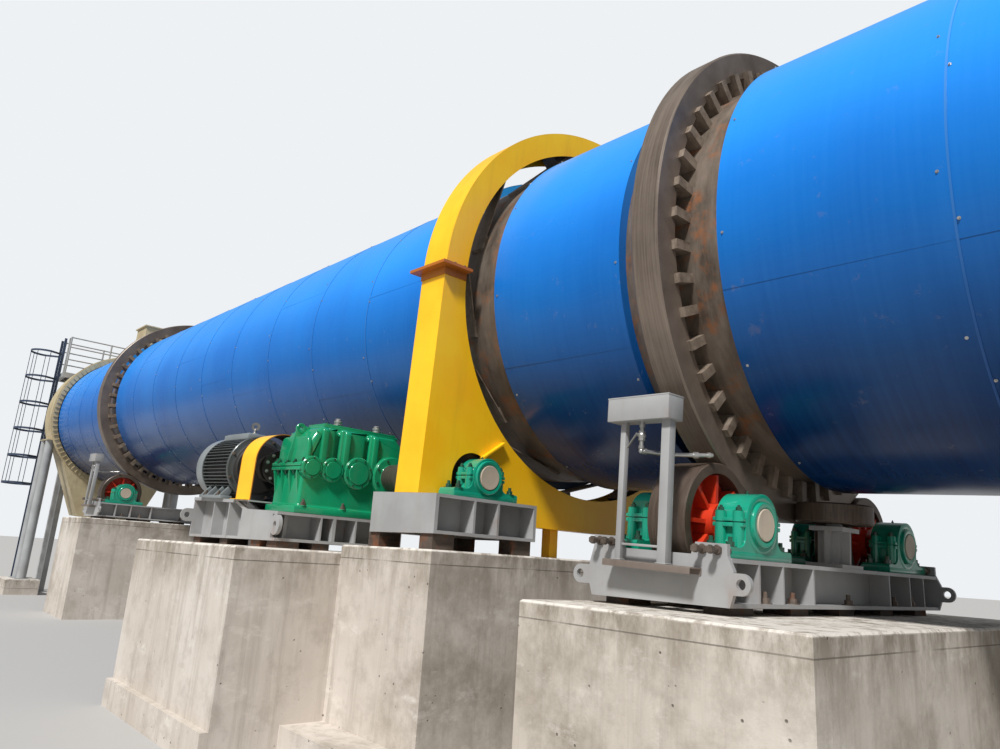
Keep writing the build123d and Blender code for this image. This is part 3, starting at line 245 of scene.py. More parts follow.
def workedSteel(name, look):
    # steel as rolled, forged or turned, dulled by a brown film of rust and marked by handling
    material, tree, shader, where = startMaterial(name)
    place = alongDrum(tree, where)
    colour = blendColour(tree, cloud(tree, place, 2.5, 6, 0.6), look["colour"], look["shade"])
    marks = cloud(tree, alongDrum(tree, where, look["grainWay"]), 1.0, 6, 0.7, 0.35, 0.75)
    colour = blendColour(tree, times(tree, marks, look["marks"]), colour, look["bright"])
    rust = cloud(tree, place, 5.5, 9, 0.7, look["rustFrom"], look["rustFrom"] + 0.16, 0.85)
    colour = blendColour(tree, rust, colour, look["rust"])
    rough = times(tree, ramp(tree, marks, 0, 1, *look["roughness"]), times(tree, rust, 0.25), "ADD", True)
    normal = relief(tree, grain(tree, place, 1000 / 18, 5), 0.35, 0.0008)
    normal = relief(tree, marks, 0.25, 0.0006, normal)
    setSockets(tree, shader, {"Base Color": colour, "Metallic": ramp(tree, rust, 0, 1, look["metallic"], 0.05),
                              "Roughness": rough, "Normal": normal})
    return material


def castConcrete(name, look):
    # one thin straight lift line, mottled skin, pinholes, ragged damp dirt under a broken pale edge
    material, tree, shader, where = startMaterial(name)
    height = addNode(tree, "ShaderNodeSeparateXYZ", {"Vector": where}).outputs["Z"]
    board = stretched(tree, where, (26, 26, 0.5))
    run = stretched(tree, where, (9, 9, 0.6))
    cast = stretched(tree, where, (2.5, 2.5, 5), (3, 1, 7))
    layers = (
        (cloud(tree, board, 1.0, 5, 0.6, 0.42, 0.72, 0.13), "pale"),
        (cloud(tree, where, 3.4, 9, 0.74, 0.50, 0.64, 0.42), "run"),
        (cloud(tree, run, 1.0, 7, 0.68, 0.50, 0.74, 0.7), "run"),
        (cloud(tree, where, 0.7, 9, 0.70, 0.53, 0.66, 0.7), "damp"),
        (cloud(tree, cast, 1.0, 7, 0.7, 0.58, 0.70, 0.6), "pale"),
        (times(tree, ramp(tree, height, look["top"] - 0.42, look["top"] - 0.02),
               cloud(tree, stretched(tree, where, (5, 5, 2)), 1.0, 9, 0.74, 0.41, 0.60, 0.95)), "damp"),
        (times(tree, ramp(tree, height, look["top"] - 0.020, look["top"] - 0.010, stop=0.8),
               cloud(tree, where, 9, 6, 0.7, 0.42, 0.52)), "pale"),
    )
    colour = blendColour(tree, cloud(tree, where, 1.1, 6, 0.6, 0.38, 0.64), look["colour"], look["shade"])
    for factor, over in layers:
        colour = blendColour(tree, factor, colour, look[over])
    seam = addNode(tree, "ShaderNodeMath", {
        0: height, 1: look["lift"], 2: 0.0035}, operation="COMPARE").outputs[0]
    seam = times(tree, seam, cloud(tree, where, 2.2, 3, 0.5, 0.34, 0.5))
    colour = blendColour(tree, times(tree, seam, 0.7), colour, look["hole"])
    hole = addNode(tree, "ShaderNodeTexVoronoi", {"Vector": where, "Scale": 1000 / look["holeSpacing"]})
    hole = times(tree, ramp(tree, hole.outputs["Distance"], 0.05, 0.10, 1, 0),
                 cloud(tree, where, 2.8, 2, 0.5, 0.48, 0.54))
    colour = blendColour(tree, times(tree, hole, 0.85), colour, look["hole"])
    normal = relief(tree, grain(tree, where, 70.0, 6), 0.4, 0.002)
    normal = relief(tree, grain(tree, where, 3.0, 5), 0.5, 0.012, normal)
    normal = relief(tree, times(tree, hole, seam, "MAXIMUM"), 0.8, 0.006, normal, invert=True)
    setSockets(tree, shader, {
        "Base Color": colour, "Roughness": 0.88, "Specular IOR Level": 0.3, "Normal": normal})
    return material


# the blues are set lighter to carry the sky's reflection in the gloss (painted reflection); the top colour is
# painted light and the under colour painted shade
sheetBlue = coilCoatedSheet("coil_coated_sheet_blue", {
    "colour": "#1487ea", "shade": "#0a70d2", "under": "#01183f", "paintedLightOnTop": "#32a2f6", "streak": "#4fa3f0",
    "dust": "#8d7f74", "splash": 0.3, "roughness": (0.22, 0.3), "canning": 24})
lapEdge = coilCoatedSheet("cut_edge_of_lapped_sheet", {
    "colour": "#3585d6", "shade": "#2c78c6", "under": "#153f7a", "paintedLightOnTop": "#55a5ee", "streak": "#a9c7ea",
    "dust": "#8d7f74", "splash": 0.3, "roughness": (0.3, 0.4), "canning": 10})
rolledShell = workedSteel("rolled_shell_plate", {
    "colour": "#6a5c50", "shade": "#463b32", "bright": "#9b8d7e", "rust": "#955521", "rustFrom": 0.53,
    "grainWay": (9, 2.0, 2.0), "marks": 0.6, "metallic": 0.2, "roughness": (0.42, 0.62)})
forgedTyre = workedSteel("forged_tyre_steel", {
    "colour": "#77695d", "shade": "#5d5046", "bright": "#a99c8f", "rust": "#6f4a2f", "rustFrom": 0.66,
    "grainWay": (75, 1.6, 1.6), "marks": 0.45, "metallic": 0.4, "roughness": (0.34, 0.5)})
weldedBar = workedSteel("welded_bar_steel", {
    "colour": "#7f6f61", "shade": "#5c4f44", "bright": "#b3a493", "rust": "#6e4023", "rustFrom": 0.62,
    "grainWay": (30, 14, 14), "marks": 0.6, "metallic": 0.15, "roughness": (0.45, 0.65)})
cutGear = workedSteel("cut_gear_steel", {
    "colour": "#3f3933", "shade": "#2b2724", "bright": "#7a7269", "rust": "#4d3020", "rustFrom": 0.62,
    "grainWay": (60, 3, 3), "marks": 0.35, "metallic": 0.5, "roughness": (0.35, 0.5)})
turnedSteel = workedSteel("turned_shaft_steel", {
    "colour": "#5b5046", "shade": "#453b33", "bright": "#a39a8f", "rust": "#5e3c26", "rustFrom": 0.62,
    "grainWay": (160, 6, 6), "marks": 0.5, "metallic": 0.6, "roughness": (0.3, 0.45)})
rollerTread = workedSteel("rolled_roller_tread", {
    "colour": "#54453a", "shade": "#3e322a", "bright": "#84766a", "rust": "#5a3b27", "rustFrom": 0.66,
    "grainWay": (90, 5, 5), "marks": 0.45, "metallic": 0.3, "roughness": (0.36, 0.5)})
rustyPlate = workedSteel("rusted_packing_plate", {
    "colour": "#4b3f37", "shade": "#2f2823", "bright": "#7d6f63", "rust": "#7a4624", "rustFrom": 0.5,
    "grainWay": (20, 4, 30), "marks": 0.5, "metallic": 0.15, "roughness": (0.6, 0.8)})
rustyBolt = workedSteel("weathered_bolt_steel", {
    "colour": "#6f6156", "shade": "#463b33", "bright": "#a0958a", "rust": "#6d4128", "rustFrom": 0.56,
    "grainWay": (40, 40, 40), "marks": 0.4, "metallic": 0.4, "roughness": (0.45, 0.6)})
zincBolt = workedSteel("zinc_plated_bolt", {
    "colour": "#c7c6c2", "shade": "#a5a4a1", "bright": "#e4e3df", "rust": "#8a7460", "rustFrom": 0.75,
    "grainWay": (40, 40, 40), "marks": 0.4, "metallic": 0.8, "roughness": (0.3, 0.42)})
yellowEnamel = enamelPaint("chrome_yellow_enamel", {
    "colour": "#ffc81c", "shade": "#fdbb12", "dirt": 0.2, "dirtColour": "#a67c26", "rust": 0.5,
    "rustColour": "#8a4a17", "roughness": (0.36, 0.6), "coat": 0.15,
    "flange": {"height": 0.030, "half": 0.0128, "colour": "#b3651a"}})
splicePrimer = enamelPaint("ochre_splice_primer", {
    "colour": "#c27a22", "shade": "#a96118", "dirt": 0.5, "dirtColour": "#6b431c", "rust": 0.9,
    "rustColour": "#6e3916", "roughness": (0.5, 0.7), "coat": 0.0})
greenEnamel = enamelPaint("gloss_green_enamel", {
    "colour": "#149868", "shade": "#0e8659", "dirt": 0.2, "dirtColour": "#5d7263", "rust": 0.2,
    "rustColour": "#3b3a2c", "roughness": (0.2, 0.45), "coat": 0.6, "grain": 30, "depth": 1.2})
housingEnamel = enamelPaint("gloss_blue_green_enamel", {
    "colour": "#179c7e", "shade": "#10896c", "dirt": 0.25, "dirtColour": "#4d6a5e", "rust": 0.2,
    "rustColour": "#2f3a30", "roughness": (0.18, 0.42), "coat": 0.7, "grain": 30, "depth": 1.2})
paintedBolt = enamelPaint("painted_over_bolt", {
    "colour": "#1c5a44", "shade": "#20392e", "dirt": 0.5, "dirtColour": "#332a20", "rust": 1.0,
    "rustColour": "#4f3524", "roughness": (0.3, 0.6), "coat": 0.3, "patches": 14})
greyPaint = enamelPaint("grey_machine_paint", {
    "colour": "#a5a5a4", "shade": "#969594", "dirt": 0.35, "dirtColour": "#8c8277", "rust": 0.95, "stain": 0.75,
    "rustColour": "#8a5428", "roughness": (0.42, 0.65), "coat": 0.1, "leaned": False})
# painted shade: the fins are painted darker than the cowl, standing in for the shade among the thin fins
finShadePaint = enamelPaint("fin_enamel_with_painted_shade", {
    "colour": "#4d5150", "shade": "#3d403f", "dirt": 0.5, "dirtColour": "#3a3834", "rust": 0.2,
    "rustColour": "#4d4034", "roughness": (0.4, 0.55), "coat": 0.1, "grain": 5})
motorPaint = enamelPaint("grey_motor_enamel", {
    "colour": "#848a8b", "shade": "#777d7e", "dirt": 0.3, "dirtColour": "#5d5f5c", "rust": 0.2,
    "rustColour": "#5d4b3c", "roughness": (0.34, 0.5), "coat": 0.3, "grain": 5})
redOxide = enamelPaint("red_oxide_paint", {
    "colour": "#d63c1e", "shade": "#b92d15", "dirt": 0.3, "dirtColour": "#6b2718", "rust": 0.3,
    "rustColour": "#512016", "roughness": (0.4, 0.55), "coat": 0.2})
creamPaint = enamelPaint("weathered_cream_paint", {
    "colour": "#c3b491", "shade": "#ab9b79", "dirt": 0.5, "dirtColour": "#8a7a5d", "rust": 0.6,
    "rustColour": "#84572f", "roughness": (0.5, 0.72), "coat": 0.05})
capPaint = enamelPaint("primed_cap_disc", {
    "colour": "#c4b7a4", "shade": "#ad9f8c", "dirt": 0.3, "dirtColour": "#8c7d6a", "rust": 0.5,
    "rustColour": "#7a4e2b", "roughness": (0.5, 0.7), "coat": 0.0})
columnPaint = enamelPaint("grey_tube_paint", {
    "colour": "#a5a6a6", "shade": "#929393", "dirt": 0.35, "dirtColour": "#7d766d", "rust": 0.6,
    "rustColour": "#7c5230", "roughness": (0.45, 0.6), "coat": 0.1, "leaned": False})
ladderPaint = enamelPaint("dark_blue_ladder_paint", {
    "colour": "#34435a", "shade": "#29364b", "dirt": 0.4, "dirtColour": "#5c5a56", "rust": 0.6,
    "rustColour": "#6f4a2e", "roughness": (0.45, 0.6), "coat": 0.1, "leaned": False})
pier = {
    "tops": {"right_pier": 1.287, "motor_pier": 1.485, "pinion_pier": 1.545, "left_pier": 1.781,
             "column_plinths": 0.345},
    "look": {"colour": "#cbc2b8", "shade": "#b9afa3", "run": "#9a9085", "damp": "#877d6f", "pale": "#dcd5cb",
             "hole": "#5d564c", "holeSpacing": 95},
    "dirtier": {"right_pier": {"colour": "#c6bdb1", "shade": "#b2a89b", "damp": "#82786a"}},
}
concretes = {}
for name, top in pier["tops"].items():
    concretes[name] = castConcrete(f"board_cast_concrete_{name}", {
        **pier["look"], **pier["dirtier"].get(name, {}), "top": top, "lift": top - (0.1 if top > 1 else 0.2)})
floorPaint = bpy.data.materials.new("pale_floor_paint")
floorPaint.use_nodes = True
setSockets(floorPaint.node_tree, floorPaint.node_tree.nodes["Principled BSDF"], {
    "Base Color": hexColour("#adaba8"), "Roughness": 0.9})
# near-black paint that stands in for shade (painted shade), used inside the coupling guard and on the motor
# between its fins and on its end shield
shadeBlackPaint = enamelPaint("painted_shade_black_inside_guard", {
    "colour": "#2b2724", "shade": "#211e1b", "dirt": 0.4, "dirtColour": "#4a4038", "rust": 0.4,
    "rustColour": "#4d3020", "roughness": (0.6, 0.75), "coat": 0.0})
channelPaint = enamelPaint("worn_brown_primer", {
    "colour": "#7b6f66", "shade": "#655a51", "dirt": 0.5, "dirtColour": "#4b4038", "rust": 0.9, "stain": 0.6,
    "rustColour": "#6e4023", "roughness": (0.5, 0.7), "coat": 0.0})

rollers = [f"{tyre}_{side}_roller" for tyre in drum["tyres"] for side in ("near", "far")]
finishes = {
    sheetBlue: ["cladding_feed", "cladding_long", "cladding_short", "cladding_discharge"],
    rolledShell: ["drum_shell"],
    forgedTyre: ["right_tyre", "left_tyre"],
    weldedBar: ["right_tyre_pads", "left_tyre_pads", "gear_springs"],
    cutGear: ["girth_gear", "pinion"],
    turnedSteel: ["low_speed_coupling", "motor_coupling"],
    rollerTread: [*(f"{name}_rim" for name in rollers), "thrust_roller_up", "thrust_roller_down"],
    redOxide: [f"{name}_wheel" for name in rollers],
    greenEnamel: ["right_housings", "left_housings", "pinion_housings", "reducer"],
    motorPaint: ["motor"],
    yellowEnamel: ["gear_guard_upper", "gear_guard_lower", "coupling_guard"],
    greyPaint: ["right_station_base", "left_station_base", "right_oiler", "left_oiler", "drive_base",
                "pinion_base", "thrust_stands"],
    creamPaint: [f"{end}_{part}" for end in ("feed", "discharge")
                 for part in ("hood", "hood_end", "seal", "duct")],
    columnPaint: ["feed_columns", "discharge_columns", "platform", "handrail"],
    ladderPaint: ["ladder", "ladder_cage"],
    rustyPlate: ["packing_plates"],
    **{material: [name] for name, material in concretes.items()},
}
for material, names in finishes.items():
    for name in names:
        slots = nodes[name].material_slots
        if not slots:
            nodes[name].data.materials.append(material)
        for slot in slots:
            slot.material = material
print("materials are made and given to the nodes")


# ---- making pieces, in mm
def facing(point, way=(0, 0, 1)):
    # a place whose Z points `way`
    return shift(*point) @ Vector(way).to_track_quat("Z", "Y").to_matrix().to_4x4()


def shift(x, y, z):
    return Matrix.Translation((x, y, z))


def swing(angle, axis="X"):
    return Matrix.Rotation(angle, 4, axis)


def around(count, radius):
    # points on a circle, the first one half a step round
    turns = [2 * pi / count * (k + 0.5) for k in range(count)]
    return [(radius * cos(turn), radius * sin(turn)) for turn in turns]


def joinPart(bm, part, place=Matrix()):
    # a part made on its own is put in its place and joined to the others
    bmesh.ops.transform(part, matrix=place, verts=part.verts)
    mesh = bpy.data.meshes.new("part")
    part.to_mesh(mesh)
    part.free()
    bm.from_mesh(mesh)
    bpy.data.meshes.remove(mesh)


def roundOff(part, geom, offset, segments=2, affect="EDGES"):
    bmesh.ops.bevel(part, geom=geom, offset=offset, offset_type="OFFSET", segments=segments, profile=0.5,
                    affect=affect, material=-1)


def vertsOf(made):
    return [item for item in made if isinstance(item, bmesh.types.BMVert)]


def addCube(part, low, high):
    bmesh.ops.create_cube(part, size=1, matrix=shift(*(low + high) / 2) @ Matrix.Diagonal((*(high - low), 1)))


def addBox(bm, corner, opposite, rounding=0.0, place=Matrix()):
    # any two opposite corners
    part = bmesh.new()
    addCube(part, *(Vector([pick(pair) for pair in zip(corner, opposite)]) for pick in (min, max)))
    if rounding:
        roundOff(part, list(part.edges), rounding)
    joinPart(bm, part, place)


def addCone(bm, sides, lower, upper, depth, place):
    bmesh.ops.create_cone(bm, cap_ends=True, segments=sides, radius1=lower, radius2=upper, depth=depth,
                          matrix=place)


def addRod(bm, start, end, radius, sides=16, taper=None):
    start, end = Vector(start), Vector(end)
    way = end - start
    addCone(bm, sides, radius, taper or radius, way.length, facing((start + end) / 2, way))


def spinRound(part, geom, steps):
    bmesh.ops.spin(part, geom=geom, cent=(0, 0, 0), axis=(1, 0, 0), dvec=(0, 0, 0), angle=2 * pi, steps=steps,
                   use_merge=True, use_duplicate=False)
    bmesh.ops.remove_doubles(part, verts=part.verts, dist=0.001)


def addSpun(bm, outline, steps, place=Matrix()):
    # an outline of (along, radius) pairs turned about X; it starts and ends on the axis or closes on itself
    part = bmesh.new()
    corners = [part.verts.new((x, 0, r)) for x, r in outline]
    closed = outline[0][1] > 0 or outline[-1][1] > 0
    follow = corners[1:] + corners[:1] if closed else corners[1:]
    spinRound(part, corners + [part.edges.new(pair) for pair in zip(corners, follow)], steps)
    joinPart(bm, part, place)


def addPlate(bm, corners, thickness, place=Matrix(), edge=0.0, rounds=2):
    # corners are (y, z) or (y, z, rounding); the plate is drawn square to X and grows along it
    part = bmesh.new()
    verts = [part.verts.new((0, corner[0], corner[1])) for corner in corners]
    part.faces.new(verts)
    rounded = {}
    for vert, corner in zip(verts, corners):
        if len(corner) > 2 and corner[2]:
            rounded.setdefault(corner[2], []).append(vert)
    for rounding, group in rounded.items():
        roundOff(part, group, rounding, max(3, min(16, int(rounding / 8))), "VERTICES")
    made = bmesh.ops.extrude_face_region(part, geom=list(part.faces))["geom"]
    bmesh.ops.translate(part, verts=vertsOf(made), vec=(thickness, 0, 0))
    if edge:
        rims = [e for e in part.edges if abs(e.verts[0].co.x - e.verts[1].co.x) < 0.001]
        roundOff(part, rims, edge, rounds)
    joinPart(bm, part, place)


def addFilletedBox(bm, low, high, fillet, corner):
    # a casting's wall that flares into its foot; low and high are the wall's own corners
    part = bmesh.new()
    grown = Vector((fillet, fillet, 0))
    addCube(part, Vector(low) - grown, Vector((high[0], high[1], low[2] + 2)) + grown)
    upright = [e for e in part.edges if abs(e.verts[0].co.z - e.verts[1].co.z) > 1]
    roundOff(part, upright, corner + fillet, 8)
    top = max(part.faces, key=lambda face: face.calc_center_median().z)
    steps = [radians(15 * i) for i in range(7)]
    for a, b in zip(steps, steps[1:]):
        bmesh.ops.inset_individual(part, faces=[top], thickness=fillet * (sin(b) - sin(a)),
                                   depth=fillet * (cos(a) - cos(b)), use_even_offset=True)
    made = bmesh.ops.extrude_discrete_faces(part, faces=[top])["faces"]
    rise = high[2] - max(vert.co.z for vert in part.verts)
    bmesh.ops.translate(part, verts=made[0].verts, vec=(0, 0, rise))
    joinPart(bm, part)


def addBolt(bm, place, across=30.0, stub=0.0, washer=True):
    # washer, hexagon and the thread's end, one on another
    layers = [(16, 0.9, 0.9, across * 0.12)] if washer else []
    layers.append((6, 0.577, 0.577, across * 0.6))
    if stub:
        layers.append((10, 0.32, 0.3, stub))
    height = 0
    for sides, lower, upper, depth in layers:
        addCone(bm, sides, across * lower, across * upper, depth, place @ shift(0, 0, height + depth / 2))
        height += depth


def finishPiece(name, bm, material, body="frame", leaned=True, sharp=32):
    bmesh.ops.recalc_face_normals(bm, faces=bm.faces)
    bmesh.ops.scale(bm, vec=(0.001, 0.001, 0.001), verts=bm.verts)
    if leaned:
        place = shift(0, 0, drum["axisHeight"] / 1000) @ swing(slope, "Y")
        bmesh.ops.transform(bm, matrix=place, verts=bm.verts)
    mesh = bpy.data.meshes.new(name)
    bm.to_mesh(mesh)
    bm.free()
    for polygon in mesh.polygons:
        polygon.use_smooth = True
    mesh.set_sharp_from_angle(angle=radians(sharp))
    mesh.materials.append(material)
    piece = bpy.data.objects.new(name, mesh)
    scene.collection.objects.link(piece)
    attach(piece, body)
    return piece


# ---- floor
bm = bmesh.new()
bmesh.ops.create_circle(bm, cap_ends=True, segments=64, radius=160)
floorMesh = bpy.data.meshes.new("floor")
bm.to_mesh(floorMesh)
bm.free()
floor = bpy.data.objects.new("floor", floorMesh)
floorMesh.materials.append(floorPaint)
scene.collection.objects.link(floor)

# ---- drum cladding: shingled sheets, lap strips and screws
cladding = {
    "radius": 1572.4,
    "lap": 1.9,
    "thickness": 0.8,
    "overlap": 26,
    "steps": 192,
    "screwRadius": 7.5,
    "screwsRound": 12,
    "sections": {
        "feed": (-16103, -15100, -13940, -12780, -11615),
        "long": (-10863, -9730, -8570, -7400, -6240, -5090, -3930, -2770, -1610, -398),
        "short": (398, 1692),
        "discharge": (2444, 3676, 4836, 5996, 6932),
    },
    "seamAngles": (199, 161, 208, 173, 190),
}


def addScrew(bm, x, angle, radius):
    place = swing(radians(angle)) @ facing((x, radius, 0), (0, 1, 0))
    size = cladding["screwRadius"]
    for sides, lower, upper, depth, rise in ((8, 1.25, 1.2, 2, 1), (6, 0.8, 0.72, 7, 5.5)):
        addCone(bm, sides, size * lower, size * upper, depth, place @ shift(0, 0, rise))


screws, laps = bmesh.new(), bmesh.new()
for section, edges in cladding["sections"].items():
    bm = bmesh.new()
    for i, (start, stop) in enumerate(zip(edges, edges[1:])):
        inner = cladding["radius"]
        outer = inner + cladding["lap"]
        reach = stop + (cladding["overlap"] if stop != edges[-1] else 0)
        addSpun(bm, [(start, inner), (reach, outer), (reach, outer + cladding["thickness"]),
                     (start, inner + cladding["thickness"])], cladding["steps"])
        if stop != edges[-1]:
            addSpun(laps, [(reach - 11, outer + 0.6), (reach + 1, outer + 0.9), (reach + 1, outer + 2.4),
                           (reach - 11, outer + 1.6)], cladding["steps"])
        turn = cladding["seamAngles"][(i + len(edges)) % 5] if section != "discharge" else 199
        addBox(bm, (start + 4, outer - 20, -14), (stop - 2, outer + 1.3, 14), 0, swing(radians(turn)))
        for edge, inset in ((start, 38), (stop, -30)):
            for k in range(cladding["screwsRound"]):
                addScrew(screws, edge + inset, 360 / cladding["screwsRound"] * k + 7 + 9 * (i % 3), outer)
    finishPiece(f"cladding_sheets_{section}", bm, sheetBlue, "drum")
finishPiece("cladding_screws", screws, zincBolt, "drum")
finishPiece("cladding_lap_edges", laps, lapEdge, "drum")
print("cladding is done")

# ---- bearing housings
bearing = {
    "roller": {"radius": 180, "centre": 206, "length": 210, "foot": 345, "footHeight": 62, "boss": 134, "cap": 92,
               "columns": (58, 190, 36)},
    "pinion": {"radius": 150, "centre": 168, "length": 190, "foot": 325, "footHeight": 62, "boss": 134, "cap": 92,
               "columns": (52, 158, 32)},
}


def addHousing(bm, bolts, caps, size, place):
    # body with its arch and flared feet, split flange, bolt columns and stepped end cover
    half = size["length"] / 2
    base = -size["centre"]
    foot = base + size["footHeight"]
    r = size["radius"]
    addPlate(bm, [(-size["foot"], base, 4), (size["foot"], base, 4), (size["foot"], foot, 16), (r, foot, 62),
                  (r, r, r - 1), (-r, r, r - 1), (-r, foot, 62), (-size["foot"], foot, 16)],
             size["length"] - 8, place @ shift(-half + 4, 0, 0))
    for start, stop in ((-half - 9, -half + 9), (half - 9, half)):
        addBox(bm, (start, -size["foot"] + 2, base), (stop, size["foot"] - 2, base + 40), 4, place)
    boss, cap = size["boss"], size["cap"]
    addSpun(bm, [(half - 12, 0), (half - 12, r - 4), (half - 4, r - 3), (half, r - 9), (half, boss + 10),
                 (half - 3, boss + 4), (half - 3, boss + 1), (half + 14, boss - 2), (half + 19, boss - 8),
                 (half + 19, cap + 14), (half + 16, cap + 8), (half + 10, cap + 4), (half + 10, 0)], 64, place)
    addSpun(caps, [(half + 8, 0), (half + 8, cap + 3), (half + 20, cap + 2), (half + 23, cap - 2),
                   (half + 22, cap - 12), (half + 22, 0)], 48, place)
    reach, out, radius = size["columns"]
    for side in (-1, 1):
        for x in (-reach, reach):
            for low, high, lower, upper in ((foot - 8, -3, radius - 2, None), (3, 64, radius, radius - 3)):
                addRod(bm, *(place @ Vector((x, side * out, z)) for z in (low, high)), lower, 20, upper)
            addBolt(bolts, place @ shift(x, side * out, 64), 30, 12)
        for low, high in ((3, 26), (-28, -3)):
            addBox(bm, (-half + 6, side * (r - 16), low), (half - 6, side * (out + radius * 0.7), high), 5,
                   place)
        for x in (-62, 62):
            addBolt(bolts, place @ shift(x, side * (size["foot"] - 62), foot), 42, 26)
    addRod(bolts, place @ Vector((0, 0, r - 6)), place @ Vector((0, 0, r + 9)), 9, 8)
    addRod(bolts, place @ Vector((0, 0, r + 9)), place @ Vector((0, 0, r + 20)), 5, 8, 3)


roller = {"y": 1085.15, "z": -1879.54, "offset": 324}
pinion = {"y": -1425.02, "z": -1639.28, "offset": 275}
shafts = {name: [(at, side * roller["y"], roller["z"]) for side in (-1, 1)]
          for name, at in drum["tyres"].items()}
shafts["pinion"] = [(0, pinion["y"], pinion["z"])]
for name, middles in shafts.items():
    kind, offset = ("pinion", pinion["offset"]) if name == "pinion" else ("roller", roller["offset"])
    bm, bolts, caps = bmesh.new(), bmesh.new(), bmesh.new()
    for middle in middles:
        for end in (-1, 1):
            place = shift(*middle) @ swing(0 if end > 0 else pi, "Z") @ shift(offset, 0, 0)
            addHousing(bm, bolts, caps, bearing[kind], place)
    piece = finishPiece(f"{name}_bearing_housings", bm, housingEnamel, sharp=38)
    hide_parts(f"{name}_housings")
    finishPiece(f"{name}_housing_bolts", bolts, paintedBolt)
    finishPiece(f"{name}_housing_caps", caps, capPaint)
print("housings are done")

# ---- girth gear guard: angle legs and bolts of the splice
guard = {"radius": 1899, "half": 159, "bore": 1681, "split": 30, "leg": 64, "thickness": 9}
bm, bolts = bmesh.new(), bmesh.new()
low, high = guard["split"] - guard["leg"] - 12, guard["split"] - 11
for side in (-1, 1):
    outer = side * (guard["radius"] + 2)
    addBox(bm, (-guard["half"] - 9, outer, low),
           (guard["half"] + 9, outer + side * guard["thickness"], high), 1.5)
    for x in (-1, 1):
        addBox(bm, (x * guard["half"], side * (guard["bore"] + 4), low),
               (x * (guard["half"] + guard["thickness"]), outer + side * 2, high), 1.5)
    for x in (-120, -40, 40, 120):
        addBolt(bolts, facing((x, side * (guard["radius"] + 44), guard["split"] + 12)), 22, 6)
    for x in (-1, 1):
        for y in (guard["bore"] + 60, guard["bore"] + 160):
            addBolt(bolts, facing((x * (guard["half"] + 44), side * y, guard["split"] + 12)), 22, 6)
finishPiece("guard_splice_angles", bm, splicePrimer)
finishPiece("guard_splice_bolts", bolts, rustyBolt)

# ---- reducer: case, ribbed cover, bearing caps, lugs, breathers
reducer = {
    "x": (-1600, -1030), "y": (-2330, -1230), "foot": -2032, "top": -1262, "flange": 34,
    "bearings": ((-2215, 93, 6, 14), (-2018, 101, 6, 14), (-1764, 136, 8, 18), (-1425.02, 184, 8, 26)),
    "ribs": (-2121, -1901, -1608), "ribWidth": 64,
    "panels": ((-2092, -2006), (-1962, -1704), (-1660, -1392)),
    "bolts": (-2292, -2166, -1984, -1682, -1290),
    "footBolts": (-2243, -1861, -1380),
    "endBolts": (-150, 0, 150), "gussets": (-215, -75, 75, 215), "gusset": 18,
    "breathers": (-1875, -1459),
}
bm, bolts, anchors = bmesh.new(), bmesh.new(), bmesh.new()
(xLow, xHigh), (yLow, yHigh) = reducer["x"], reducer["y"]
middle = (xLow + xHigh) / 2
split, lip = pinion["z"], reducer["flange"]
foot, crown = reducer["foot"], reducer["top"]
quarter = swing(pi / 2, "Z")
# foot flange, wall, split flange, then the cover with its rounded end, pockets and ribs
addBox(bm, (xLow, yLow, foot), (xHigh, yHigh, foot + 60), 9)
addFilletedBox(bm, (xLow + 32, yLow + 42, foot + 58), (xHigh - 32, yHigh - 42, split), 26, 26)
for low, high in ((split - lip, split - 2), (split + 2, split + lip)):
    addBox(bm, (xLow + 6, yLow + 2, low), (xHigh - 6, yHigh - 2, high), 8)
covers = [
    (198, 60, 6, [(yLow + 44, split), (yHigh - 44, split), (yHigh - 44, split + 170, 70),
                  (yHigh - 150, crown - 4, 60), (yLow + 190, crown - 4, 90), (yLow + 96, crown - 90, 60),
                  (yLow + 44, split + 100, 90)]),
    (256, 44, 6, [(yLow + 42, split), (yLow + 200, split), (yLow + 200, crown - 12), (yLow + 165, crown - 12, 58),
                  (yLow + 76, split + 252, 100), (yLow + 42, split + 90, 80)]),
]
for low, high in reducer["panels"]:
    end = high if high < -1500 else high + 112
    covers.append((252, 22, 4, [
        (low, split), (end, split), (end, crown - (40 if end == high else 110), 30), (high, crown - 12, 20),
        (low, crown - 12, 16)]))
for half, edge, rounds, corners in covers:
    addPlate(bm, corners, 2 * half, shift(middle - half, 0, 0), edge, rounds)
for y in reducer["ribs"]:
    addPlate(bm, [(-283, split), (283, split), (283, crown - 26, 34), (200, crown + 3, 60), (-200, crown + 3, 60),
                  (-283, crown - 26, 34)], reducer["ribWidth"],
             shift(middle, y - reducer["ribWidth"] / 2, 0) @ quarter, 14, 4)
addPlate(bm, [(-274, split), (274, split), (274, split + 200, 60), (230, split + 270, 40), (-230, split + 270, 40),
              (-274, split + 200, 60)], 38, shift(middle, yLow + 56, 0) @ quarter, 12, 4)
